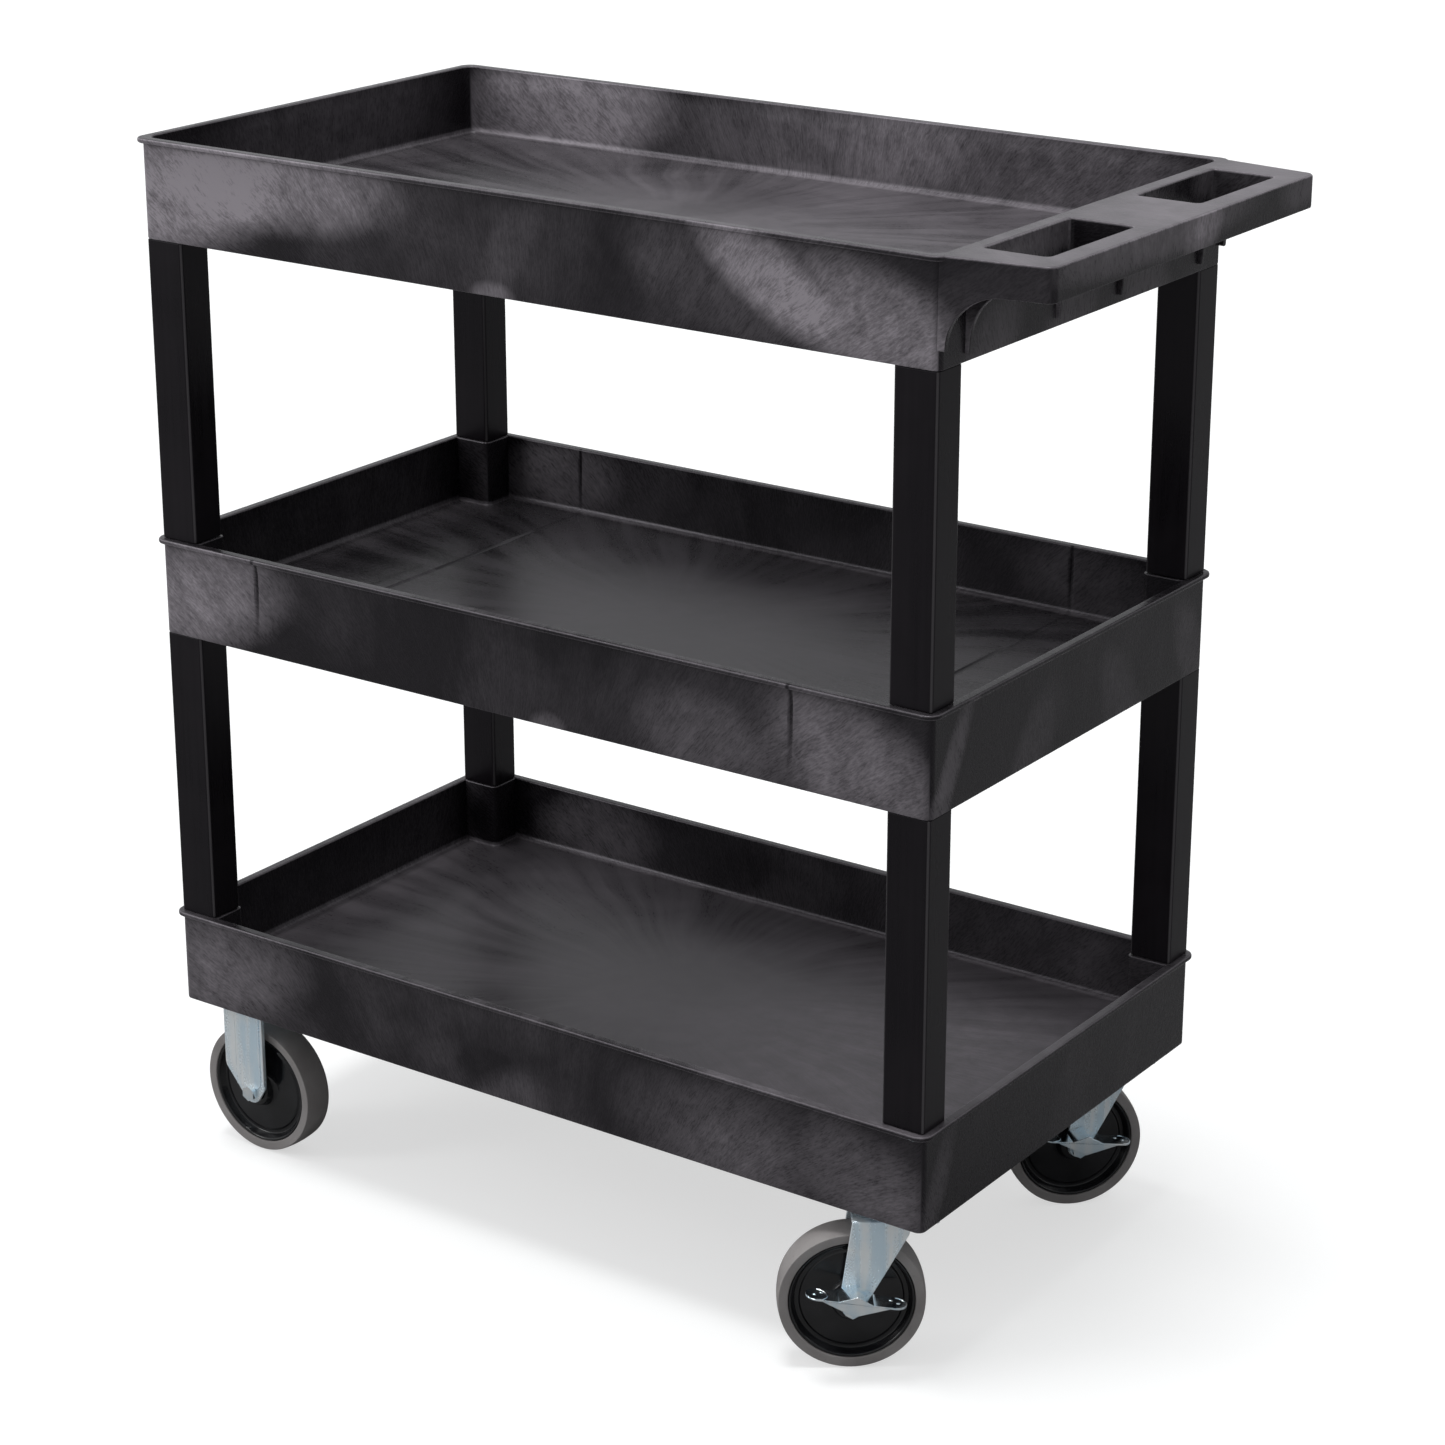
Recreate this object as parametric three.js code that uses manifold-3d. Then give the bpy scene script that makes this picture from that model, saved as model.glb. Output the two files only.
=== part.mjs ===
// Rolling utility cart: three moulded tub shelves on eight hollow legs, with a
// push handle moulded into the top tub, two rigid casters at the far end and two
// swivel casters with foot brakes at the handle end.
// Millimetres, +Z up. +X points towards the handle; the ground is z = 0.
import * as THREE from 'three';
import { mergeVertices } from 'three/addons/utils/BufferGeometryUtils.js';
import Module from 'manifold-3d';

const wasm = await Module();
wasm.setup();

// ---- driving dimensions -------------------------------------------------
const TUB_LENGTH = 811; // outside of the walls, along X
const TUB_WIDTH = 450; // outside of the walls, along Y
const TUB_DEPTH = 89; // rim top to the skirt's lower edge
const TRAY_DEPTH = 64; // rim top to the tray floor
const TUB_PITCH = 360.5; // rim top to rim top
const SKIRT_CLEARANCE = 148; // ground to the bottom tub's skirt
const WALL = 5;
const FLOOR = 4;
const TUB_CORNER_RADIUS = 7;
const RIM_OVERHANG = 5;
const RIM_HEIGHT = 6;
const GAP = 0.3; // clearance between touching pieces

const LEG_X = 40;
const LEG_Y = 35;
const LEG_INSET = 1; // leg face behind the tub wall's face
const LEG_WALL = 3;
const PEG_LENGTH = 24;
const POST_MARGIN = 3; // how far a corner post is wider than a leg

const HANDLE_REACH = 89; // end wall to the handle's end
const HANDLE_DEPTH = 28;
const HANDLE_NARROWING = 11; // each side, from the tub to the end
const HANDLE_SKIN = 5;
const GRIP_WIDTH = 22; // the end bar, along X
const HAND_HOLE_X = 57;
const HAND_HOLE_INNER_Y = 52;
const HAND_HOLE_OUTER_Y = 183;
const GUSSET_RADIUS = 45;

const WHEEL_RADIUS = 62.5;
const TYRE_WIDTH = 30;
const HUB_RADIUS = 53;
const HUB_LENGTH = 38;
const CASTER_HEIGHT = 159; // ground to the mounting plate's top
const PLATE_THICKNESS = 3;
const RIGID_PLATE = { x: 95, y: 62, screwX: 40, screwY: 24 }; // screws from its centre
const SWIVEL_PLATE = { x: 76, y: 62, screwX: 31, screwY: 24 };
const SWIVEL_TRAIL = 42;
const SHEET = 3; // fork sheet metal
const FORK_INSIDE = 21; // fork leg's inner face from the wheel's middle
const SWIVEL_FROM_END = 45;
const SWIVEL_FROM_SIDE = 43;
const RIGID_FROM_END = 65;
const RIGID_FROM_SIDE = 38;
const NEAR_SWIVEL_TURN = 36.4; // degrees, as the cart stands
const FAR_SWIVEL_TURN = 46.8;
const PEDAL_TILT = 8; // degrees, brake off

// ---- heights worked out from them ---------------------------------------
const BOTTOM_RIM = SKIRT_CLEARANCE + TUB_DEPTH;
const MIDDLE_RIM = BOTTOM_RIM + TUB_PITCH;
const TOP_RIM = MIDDLE_RIM + TUB_PITCH;
const HALF_LENGTH = TUB_LENGTH / 2;
const HALF_WIDTH = TUB_WIDTH / 2;
const POST_X = LEG_X + POST_MARGIN;
const POST_Y = LEG_Y + POST_MARGIN;
const PEG_X = LEG_X - 12;
const PEG_Y = LEG_Y - 12;
const FLOOR_UNDERSIDE = -(TRAY_DEPTH + FLOOR);
const AXLE_RADIUS = 4.8;
const SLEEVE_RADIUS = 8.6;
const PLATE_BOTTOM = CASTER_HEIGHT - PLATE_THICKNESS;
const CORNERS = [
  { name: 'front_left', x: -1, y: -1 },
  { name: 'rear_left', x: -1, y: 1 },
  { name: 'front_right', x: 1, y: -1 },
  { name: 'rear_right', x: 1, y: 1 },
];

// ---- materials ----------------------------------------------------------
const finish = (color, roughness, metalness) =>
  new THREE.MeshStandardMaterial({ color, roughness, metalness });
const tubPlastic = finish(0x2a282b, 0.45, 0);
const legPlastic = finish(0x18161a, 0.35, 0);
const zincSteel = finish(0xb9c6cc, 0.3, 1);
const hubPlastic = finish(0x1b1a1e, 0.25, 0);
const tyreRubber = finish(0x86807f, 0.7, 0);
const darkSteel = finish(0x7d8488, 0.4, 1);

// ---- solids: three.js geometry in, joined and cut by manifold -----------
function toSolid(geometry) {
  const bare = geometry.clone();
  bare.deleteAttribute('normal');
  bare.deleteAttribute('uv');
  const merged = mergeVertices(bare, 1e-4);
  return new wasm.Manifold(new wasm.Mesh({
    numProp: 3,
    vertProperties: new Float32Array(merged.attributes.position.array),
    triVerts: new Uint32Array(merged.index.array),
  }));
}

function toGeometry(solid) {
  const mesh = solid.getMesh();
  const geometry = new THREE.BufferGeometry();
  geometry.setAttribute('position', new THREE.BufferAttribute(mesh.vertProperties, 3));
  geometry.setIndex(new THREE.BufferAttribute(mesh.triVerts, 1));
  geometry.computeVertexNormals();
  return geometry;
}

function roundedRect(lengthX, lengthY, radius, centreX = 0, centreY = 0) {
  const shape = new THREE.Shape();
  const x = lengthX / 2 - radius;
  const y = lengthY / 2 - radius;
  shape.absarc(centreX + x, centreY - y, radius, -Math.PI / 2, 0);
  shape.absarc(centreX + x, centreY + y, radius, 0, Math.PI / 2);
  shape.absarc(centreX - x, centreY + y, radius, Math.PI / 2, Math.PI);
  shape.absarc(centreX - x, centreY - y, radius, Math.PI, Math.PI * 1.5);
  return shape;
}

function prismGeometry(shape, z0, z1, curveSegments = 4) {
  const geometry = new THREE.ExtrudeGeometry(shape, {
    depth: z1 - z0, bevelEnabled: false, curveSegments,
  });
  return geometry.translate(0, 0, z0);
}

const prism = (shape, z0, z1, curveSegments) =>
  toSolid(prismGeometry(shape, z0, z1, curveSegments));

function block(x0, x1, y0, y1, z0, z1) {
  const box = new THREE.BoxGeometry(Math.abs(x1 - x0), Math.abs(y1 - y0), z1 - z0);
  return toSolid(box.translate((x0 + x1) / 2, (y0 + y1) / 2, (z0 + z1) / 2));
}

// A plate cut to a shape drawn in X and Z, standing between two values of Y.
function uprightPlate(shape, y0, y1, curveSegments = 5) {
  const geometry = new THREE.ExtrudeGeometry(shape, {
    depth: y1 - y0, bevelEnabled: false, curveSegments,
  });
  return toSolid(geometry.rotateX(Math.PI / 2).translate(0, y1, 0));
}

function polygon(points) {
  return new THREE.Shape(points.map(([x, y]) => new THREE.Vector2(x, y)));
}

// A ring or disc turned about Z from [radius, height] points, closed on itself.
function turned(points, segments) {
  const corners = points.map(([r, z]) => new THREE.Vector2(r, z));
  if (THREE.ShapeUtils.isClockWise(corners)) corners.reverse();
  const profile = [...corners, corners[0]];
  return new THREE.LatheGeometry(profile, segments).rotateX(Math.PI / 2);
}

function rod(radius, z0, z1, segments = 20) {
  const cylinder = new THREE.CylinderGeometry(radius, radius, z1 - z0, segments);
  return toSolid(cylinder.rotateX(Math.PI / 2).translate(0, 0, (z0 + z1) / 2));
}

const alongY = (geometry) => geometry.rotateX(-Math.PI / 2);

// ---- tubs ---------------------------------------------------------------
function rimBead() {
  const bevel = 2;
  const grow = 2 * (RIM_OVERHANG - bevel);
  const outline = roundedRect(
    TUB_LENGTH + grow, TUB_WIDTH + grow, TUB_CORNER_RADIUS + RIM_OVERHANG - bevel,
  );
  const bead = new THREE.ExtrudeGeometry(outline, {
    depth: RIM_HEIGHT - 2 * bevel,
    bevelThickness: bevel,
    bevelSize: bevel,
    bevelSegments: 2,
    curveSegments: 3,
  });
  return toSolid(bead.translate(0, 0, bevel - RIM_HEIGHT));
}

function cornerBlock(corner, sizeX, sizeY, z0, z1) {
  const outerX = corner.x * (HALF_LENGTH - WALL / 2);
  const outerY = corner.y * (HALF_WIDTH - WALL / 2);
  const innerX = corner.x * (HALF_LENGTH - sizeX);
  const innerY = corner.y * (HALF_WIDTH - sizeY);
  return block(Math.min(outerX, innerX), Math.max(outerX, innerX),
    Math.min(outerY, innerY), Math.max(outerY, innerY), z0, z1);
}

function legCentre(corner) {
  return {
    x: corner.x * (HALF_LENGTH - LEG_INSET - LEG_X / 2),
    y: corner.y * (HALF_WIDTH - LEG_INSET - LEG_Y / 2),
  };
}

function pegSocket(corner, z0, z1) {
  const at = legCentre(corner);
  const x = PEG_X / 2 + GAP;
  const y = PEG_Y / 2 + GAP;
  return block(at.x - x, at.x + x, at.y - y, at.y + y, z0, z1);
}

function floorRibs() {
  const depth = 6;
  const thickness = 3;
  const z0 = FLOOR_UNDERSIDE - depth;
  const z1 = FLOOR_UNDERSIDE + 1;
  const endX = HALF_LENGTH - WALL / 2;
  const endY = HALF_WIDTH - WALL / 2;
  const ribs = [];
  for (const y of [-75, 75]) {
    ribs.push(block(-endX, endX, y - thickness / 2, y + thickness / 2, z0, z1));
  }
  for (const x of [-270, -135, 0, 135, 270]) {
    ribs.push(block(x - thickness / 2, x + thickness / 2, -endY, endY, z0, z1));
  }
  return ribs.reduce((all, rib) => all.add(rib));
}

// One tub with its rim top at z = 0. Posts stand inside its corners, sockets for
// the legs below are moulded under its floor, and pads take the casters.
function tub({ posts, legsBelow, casterPads }) {
  const inside = roundedRect(TUB_LENGTH - 2 * WALL, TUB_WIDTH - 2 * WALL, TUB_CORNER_RADIUS - 2);
  const outside = roundedRect(TUB_LENGTH, TUB_WIDTH, TUB_CORNER_RADIUS);
  let solid = prism(outside, -TUB_DEPTH, -1)
    .add(rimBead())
    .subtract(prism(inside, -TRAY_DEPTH, 1))
    .subtract(prism(inside, -TUB_DEPTH - 1, FLOOR_UNDERSIDE))
    .add(floorRibs());
  for (const corner of CORNERS) {
    if (posts) {
      solid = solid
        .add(cornerBlock(corner, POST_X, POST_Y, -TRAY_DEPTH - 1, 0))
        .subtract(pegSocket(corner, -PEG_LENGTH - 1, 1));
    }
    if (legsBelow) {
      solid = solid
        .add(cornerBlock(corner, POST_X, POST_Y, -TUB_DEPTH, FLOOR_UNDERSIDE + 1))
        .subtract(pegSocket(corner, -TUB_DEPTH - 1, -TUB_DEPTH + PEG_LENGTH - 4));
    }
  }
  if (casterPads) {
    for (const caster of CASTERS) {
      solid = solid.add(casterPad(caster));
      for (const screw of screwPlaces(caster)) {
        const hole = rod(3.1, CASTER_HEIGHT - 1, CASTER_HEIGHT + 12, 12);
        solid = solid.subtract(hole.translate([screw.x, screw.y, -BOTTOM_RIM]));
      }
    }
  }
  return solid;
}

function casterPad(caster) {
  const margin = 6;
  const x0 = caster.x - caster.plate.x / 2 - margin;
  const x1 = caster.x + caster.plate.x / 2 + margin;
  const y0 = caster.y - caster.plate.y / 2 - margin;
  const y1 = caster.y + caster.plate.y / 2 + margin;
  const limitX = HALF_LENGTH - WALL / 2;
  const limitY = HALF_WIDTH - WALL / 2;
  return block(
    Math.max(x0, -limitX), Math.min(x1, limitX), Math.max(y0, -limitY), Math.min(y1, limitY),
    CASTER_HEIGHT - BOTTOM_RIM + GAP, FLOOR_UNDERSIDE + 1,
  );
}

// ---- the handle, moulded on the top tub's end ---------------------------
function handleOutline() {
  const endX = HALF_LENGTH + HANDLE_REACH;
  const endY = HALF_WIDTH - HANDLE_NARROWING;
  const radius = 9;
  const outline = new THREE.Shape();
  outline.moveTo(HALF_LENGTH - WALL / 2, -HALF_WIDTH);
  outline.lineTo(HALF_LENGTH, -HALF_WIDTH);
  outline.lineTo(endX - radius, -endY);
  outline.absarc(endX - radius, -endY + radius, radius, -Math.PI / 2, 0);
  outline.absarc(endX - radius, endY - radius, radius, 0, Math.PI / 2);
  outline.lineTo(HALF_LENGTH, HALF_WIDTH);
  outline.lineTo(HALF_LENGTH - WALL / 2, HALF_WIDTH);
  return outline;
}

// A web under the handle whose lower edge is a quarter circle.
function gussetShape() {
  const wallX = HALF_LENGTH - 1;
  const arcX = HALF_LENGTH + GUSSET_RADIUS + 4;
  const arcZ = -HANDLE_DEPTH - GUSSET_RADIUS;
  const shape = new THREE.Shape();
  shape.moveTo(wallX, -HANDLE_SKIN);
  shape.lineTo(wallX, arcZ - 9);
  shape.lineTo(HALF_LENGTH + 4, arcZ - 9);
  shape.absarc(arcX, arcZ, GUSSET_RADIUS, Math.PI, Math.PI / 2, true);
  shape.lineTo(arcX, -HANDLE_SKIN);
  return shape;
}

function handle() {
  const endX = HALF_LENGTH + HANDLE_REACH;
  const holeX1 = endX - GRIP_WIDTH;
  const holeX0 = holeX1 - HAND_HOLE_X;
  const holeCentreY = (HAND_HOLE_INNER_Y + HAND_HOLE_OUTER_Y) / 2;
  const holeY = HAND_HOLE_OUTER_Y - HAND_HOLE_INNER_Y;
  const top = -HANDLE_SKIN;
  const below = -HANDLE_DEPTH - 1;
  let solid = prism(handleOutline(), -HANDLE_DEPTH, 0)
    .subtract(block(holeX1 + HANDLE_SKIN, endX - HANDLE_SKIN, -200, 200, below, top))
    .subtract(block(holeX0 - 4, holeX1, -HAND_HOLE_INNER_Y + HANDLE_SKIN,
      HAND_HOLE_INNER_Y - HANDLE_SKIN, below, top));
  for (const side of [-1, 1]) {
    const hole = roundedRect(HAND_HOLE_X, holeY, 5, (holeX0 + holeX1) / 2, side * holeCentreY);
    const pocket = block(holeX0 - 4, holeX1, side * (HAND_HOLE_OUTER_Y + HANDLE_SKIN),
      side * (HALF_WIDTH - HANDLE_NARROWING - HANDLE_SKIN), below, top);
    solid = solid.subtract(pocket);
    for (const y of [HAND_HOLE_INNER_Y - HANDLE_SKIN, HAND_HOLE_OUTER_Y]) {
      const y0 = Math.min(side * y, side * (y + HANDLE_SKIN));
      solid = solid.add(uprightPlate(gussetShape(), y0, y0 + HANDLE_SKIN));
    }
    const cheek = uprightPlate(gussetShape(), -HANDLE_SKIN / 2, HANDLE_SKIN / 2)
      .translate([-HALF_LENGTH, 0, 0])
      .rotate([0, 0, -side * THREE.MathUtils.radToDeg(Math.atan2(HANDLE_NARROWING, HANDLE_REACH))])
      .translate([HALF_LENGTH, side * (HALF_WIDTH - HANDLE_SKIN / 2), 0]);
    solid = solid.add(cheek).subtract(prism(hole, below, 1, 3));
  }
  return solid.intersect(block(HALF_LENGTH - WALL / 2, endX, -HALF_WIDTH, HALF_WIDTH,
    -TUB_DEPTH, 0));
}

// ---- legs ---------------------------------------------------------------
// A hollow moulded leg with a smaller peg at each end, standing on z = 0.
function leg(length) {
  const body = prism(roundedRect(LEG_X, LEG_Y, 3), 0, length, 2);
  const x = PEG_X / 2;
  const y = PEG_Y / 2;
  const peg = block(-x, x, -y, y, -PEG_LENGTH, length + PEG_LENGTH - 6);
  const hollow = block(LEG_WALL - x, x - LEG_WALL, LEG_WALL - y, y - LEG_WALL,
    -PEG_LENGTH - 1, length + PEG_LENGTH);
  return body.add(peg).subtract(hollow);
}

// ---- casters ------------------------------------------------------------
const CASTERS = [
  {
    name: 'front_left', swivels: false, plate: RIGID_PLATE,
    x: -HALF_LENGTH + RIGID_FROM_END, y: -HALF_WIDTH + RIGID_FROM_SIDE, turn: 0,
  },
  {
    name: 'rear_left', swivels: false, plate: RIGID_PLATE,
    x: -HALF_LENGTH + RIGID_FROM_END, y: HALF_WIDTH - RIGID_FROM_SIDE, turn: 0,
  },
  {
    name: 'front_right', swivels: true, plate: SWIVEL_PLATE,
    x: HALF_LENGTH - SWIVEL_FROM_END, y: -HALF_WIDTH + SWIVEL_FROM_SIDE, turn: NEAR_SWIVEL_TURN,
  },
  {
    name: 'rear_right', swivels: true, plate: SWIVEL_PLATE,
    x: HALF_LENGTH - SWIVEL_FROM_END, y: HALF_WIDTH - SWIVEL_FROM_SIDE, turn: FAR_SWIVEL_TURN,
  },
];

function screwPlaces({ x, y, plate }) {
  const places = [];
  for (const dx of [-plate.screwX, plate.screwX]) {
    for (const dy of [-plate.screwY, plate.screwY]) {
      places.push({ x: x + dx, y: y + dy });
    }
  }
  return places;
}

function mountingPlate(plate) {
  let solid = prism(roundedRect(plate.x, plate.y, 6), PLATE_BOTTOM, CASTER_HEIGHT, 3);
  for (const screw of screwPlaces({ x: 0, y: 0, plate })) {
    const hole = rod(3.4, PLATE_BOTTOM - 1, CASTER_HEIGHT + 1, 12);
    solid = solid.subtract(hole.translate([screw.x, screw.y, 0]));
  }
  return solid;
}

// A fork leg's outline in X and Z, ending in a round boss about the axle.
function forkLegShape({ axleX, boss, topZ, topLeft, topRight, kneeLeft, kneeRight }) {
  const shape = new THREE.Shape();
  shape.moveTo(topLeft, topZ);
  shape.lineTo(kneeLeft[0], kneeLeft[1]);
  const startAngle = Math.PI + 0.35;
  const endAngle = Math.PI * 2 - 0.35;
  shape.absarc(axleX, WHEEL_RADIUS, boss, startAngle, endAngle);
  shape.lineTo(kneeRight[0], kneeRight[1]);
  shape.lineTo(topRight, topZ);
  return shape;
}

function forkLegs(shape, axleX) {
  const near = uprightPlate(shape, -FORK_INSIDE - SHEET, -FORK_INSIDE);
  const far = uprightPlate(shape, FORK_INSIDE, FORK_INSIDE + SHEET);
  return { pair: [near, far], hole: axleHole(axleX) };
}

function axleHole(axleX) {
  const reach = FORK_INSIDE + 2 * SHEET;
  const cylinder = new THREE.CylinderGeometry(5.2, 5.2, 2 * reach, 12);
  return toSolid(cylinder.translate(axleX, 0, WHEEL_RADIUS));
}

function rigidFork() {
  const shape = forkLegShape({
    axleX: 0, boss: 11, topZ: PLATE_BOTTOM + 1, topLeft: -31, topRight: 17,
    kneeLeft: [-31, 84], kneeRight: [17, 70],
  });
  const { pair, hole } = forkLegs(shape, 0);
  return mountingPlate(RIGID_PLATE).add(pair[0]).add(pair[1]).subtract(hole);
}

const CROWN_Z = 138;
function swivelFork() {
  const axleX = -SWIVEL_TRAIL;
  const shape = forkLegShape({
    axleX, boss: 9.5, topZ: CROWN_Z + SHEET, topLeft: axleX - 1, topRight: 8,
    kneeLeft: [axleX - 10, 74], kneeRight: [axleX + 16, 73],
  });
  const { pair, hole } = forkLegs(shape, axleX);
  const crown = block(axleX - 1, 30, -FORK_INSIDE - SHEET, FORK_INSIDE + SHEET,
    CROWN_Z, CROWN_Z + SHEET);
  const lowerRace = toSolid(turned([[7, CROWN_Z + 1], [27.5, CROWN_Z + 1],
    [27.5, CROWN_Z + 7.6], [7, CROWN_Z + 7.6]], 20));
  const pinHole = rod(7, CROWN_Z - 1, CROWN_Z + SHEET + 1, 20);
  return crown.add(pair[0]).add(pair[1]).add(lowerRace).subtract(pinHole).subtract(hole);
}

function swivelPlate() {
  const upperRace = toSolid(turned([[7, PLATE_BOTTOM + 1], [31, PLATE_BOTTOM + 1],
    [31, PLATE_BOTTOM - 8], [28.5, PLATE_BOTTOM - 8], [28.5, PLATE_BOTTOM - 4.6],
    [7, PLATE_BOTTOM - 4.6]], 20));
  const pinHole = rod(7, PLATE_BOTTOM - 1, CASTER_HEIGHT + 1, 20);
  return mountingPlate(SWIVEL_PLATE).subtract(pinHole).add(upperRace);
}

function kingpin() {
  return turned([[0, CROWN_Z - 5], [11, CROWN_Z - 5], [11, CROWN_Z - GAP],
    [6.3, CROWN_Z - GAP], [6.3, CASTER_HEIGHT - GAP], [0, CASTER_HEIGHT - GAP]], 16);
}

function ballRing() {
  const ringRadius = 24;
  const ball = 2.6;
  const z = CROWN_Z + 7.6 + GAP + ball;
  const points = [];
  const sides = 6;
  for (let i = 0; i < sides; i += 1) {
    const angle = (i / sides) * Math.PI * 2;
    points.push([ringRadius + ball * Math.cos(angle), z + ball * Math.sin(angle)]);
  }
  return turned(points, 20);
}

// Wheel pieces are turned about Z, then laid along Y at the origin.
function wheelHub() {
  const halfFace = TYRE_WIDTH / 2 - 2;
  const side = [[9, HUB_LENGTH / 2], [15, HUB_LENGTH / 2], [18, 9],
    [46, 7.5], [50.5, halfFace], [HUB_RADIUS, halfFace]];
  const back = side.map(([r, z]) => [r, -z]).reverse();
  return alongY(turned([...side, ...back], 24));
}

function wheelTyre() {
  const half = TYRE_WIDTH / 2;
  const inner = HUB_RADIUS + 0.4;
  const side = [[inner, half - 1.5], [WHEEL_RADIUS - 3, half], [WHEEL_RADIUS - 1, half - 1.5],
    [WHEEL_RADIUS, half - 5]];
  const back = side.map(([r, z]) => [r, -z]).reverse();
  return alongY(turned([...side, ...back], 36));
}

function axleSleeve() {
  const half = FORK_INSIDE - GAP;
  return alongY(turned([[5.1, -half], [SLEEVE_RADIUS, -half], [SLEEVE_RADIUS, half],
    [5.1, half]], 16));
}

// The head lies towards -Y, outside the fork and the brake pedal's tab.
function axleBolt(headAt) {
  const tip = FORK_INSIDE + SHEET + 9;
  const shank = rod(AXLE_RADIUS, -headAt - 1, tip, 12);
  const head = toSolid(new THREE.CylinderGeometry(7.5, 7.5, 5, 6)
    .rotateX(Math.PI / 2).translate(0, 0, -headAt - 2.5));
  return alongY(toGeometry(shank.add(head)));
}

function axleNut() {
  const z0 = FORK_INSIDE + SHEET + GAP;
  const body = toSolid(new THREE.CylinderGeometry(8, 8, 7, 6)
    .rotateX(Math.PI / 2).translate(0, 0, z0 + 3.5));
  return alongY(toGeometry(body.subtract(rod(5.1, z0 - 1, z0 + 8, 12))));
}

// A stamped two-wing rocker on the axle, with a raised middle and a hanging lip.
const PEDAL_TAB = 2;
function brakePedal() {
  const y1 = -FORK_INSIDE - SHEET - GAP;
  const tabY = y1 - PEDAL_TAB;
  const frontY = y1 - 22;
  const shelfZ = 13.5;
  const tabShape = new THREE.Shape();
  tabShape.moveTo(-12, shelfZ + 1);
  tabShape.lineTo(-9, 0);
  tabShape.absarc(0, 0, 9, Math.PI, Math.PI * 2);
  tabShape.lineTo(12, shelfZ + 1);
  const wings = new THREE.Shape();
  wings.moveTo(-12, y1);
  wings.lineTo(-20, y1 - 3);
  wings.absarc(-33, y1 - 12.5, 9.5, Math.PI / 2, Math.PI * 1.5);
  wings.lineTo(0, frontY);
  wings.absarc(33, y1 - 12.5, 9.5, -Math.PI / 2, Math.PI / 2);
  wings.lineTo(20, y1 - 3);
  wings.lineTo(12, y1);
  const tent = polygon([[-15, shelfZ], [15, shelfZ], [0, shelfZ + 7]]);
  const lip = polygon([[-30, shelfZ + 1], [0, shelfZ - 11], [30, shelfZ + 1]]);
  return uprightPlate(tabShape, tabY, y1, 8)
    .add(prism(wings, shelfZ, shelfZ + 2, 6))
    .add(uprightPlate(tent, frontY, y1))
    .add(uprightPlate(lip, frontY, frontY + 2))
    .subtract(toSolid(new THREE.CylinderGeometry(5.2, 5.2, 20, 12).translate(0, y1, 0)));
}

function mountingScrew() {
  const top = PLATE_BOTTOM - GAP;
  const head = rod(6, top - 3.5, top, 6);
  return toGeometry(head.add(rod(2.8, top - 1, CASTER_HEIGHT + 10, 8)));
}

// ---- the cart -----------------------------------------------------------
const cart = new THREE.Group();

function addPart(parent, name, shape, material, place = [0, 0, 0], turnY = 0) {
  const geometry = shape instanceof THREE.BufferGeometry ? shape : toGeometry(shape);
  const mesh = new THREE.Mesh(geometry, material.clone());
  mesh.name = name;
  mesh.position.set(...place);
  mesh.rotation.y = THREE.MathUtils.degToRad(turnY);
  parent.add(mesh);
}

function addTubs() {
  const plainTub = tub({ posts: false, legsBelow: true, casterPads: false });
  addPart(cart, 'top_tub', plainTub.add(handle()), tubPlastic, [0, 0, TOP_RIM]);
  addPart(cart, 'middle_tub', tub({ posts: true, legsBelow: true, casterPads: false }),
    tubPlastic, [0, 0, MIDDLE_RIM]);
  addPart(cart, 'bottom_tub', tub({ posts: true, legsBelow: false, casterPads: true }),
    tubPlastic, [0, 0, BOTTOM_RIM]);
}

function addLegs() {
  const length = TUB_PITCH - TUB_DEPTH - 2 * GAP;
  for (const [tier, rim] of [['lower', BOTTOM_RIM], ['upper', MIDDLE_RIM]]) {
    for (const corner of CORNERS) {
      const at = legCentre(corner);
      addPart(cart, `${tier}_leg_${corner.name}`, leg(length), legPlastic,
        [at.x, at.y, rim + GAP]);
    }
  }
}

function addWheel(group, name, axle, headAt) {
  addPart(group, `hub_${name}`, wheelHub(), hubPlastic, axle);
  addPart(group, `tyre_${name}`, wheelTyre(), tyreRubber, axle);
  addPart(group, `axle_sleeve_${name}`, axleSleeve(), darkSteel, axle);
  addPart(group, `axle_bolt_${name}`, axleBolt(headAt), zincSteel, axle);
  addPart(group, `axle_nut_${name}`, axleNut(), zincSteel, axle);
}

function addRigidCaster(group, name) {
  addPart(group, `fork_${name}`, rigidFork(), zincSteel);
  addWheel(group, name, [0, 0, WHEEL_RADIUS], FORK_INSIDE + SHEET + GAP);
}

function addSwivelCaster(fixed, group, name) {
  addPart(fixed, `swivel_plate_${name}`, swivelPlate(), zincSteel);
  addPart(fixed, `kingpin_${name}`, kingpin(), zincSteel);
  addPart(fixed, `ball_ring_${name}`, ballRing(), darkSteel);
  addPart(group, `fork_${name}`, swivelFork(), zincSteel);
  const axle = [-SWIVEL_TRAIL, 0, WHEEL_RADIUS];
  addWheel(group, name, axle, FORK_INSIDE + SHEET + PEDAL_TAB + 2 * GAP);
  addPart(group, `brake_pedal_${name}`, brakePedal(), zincSteel, axle, PEDAL_TILT);
}

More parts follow.
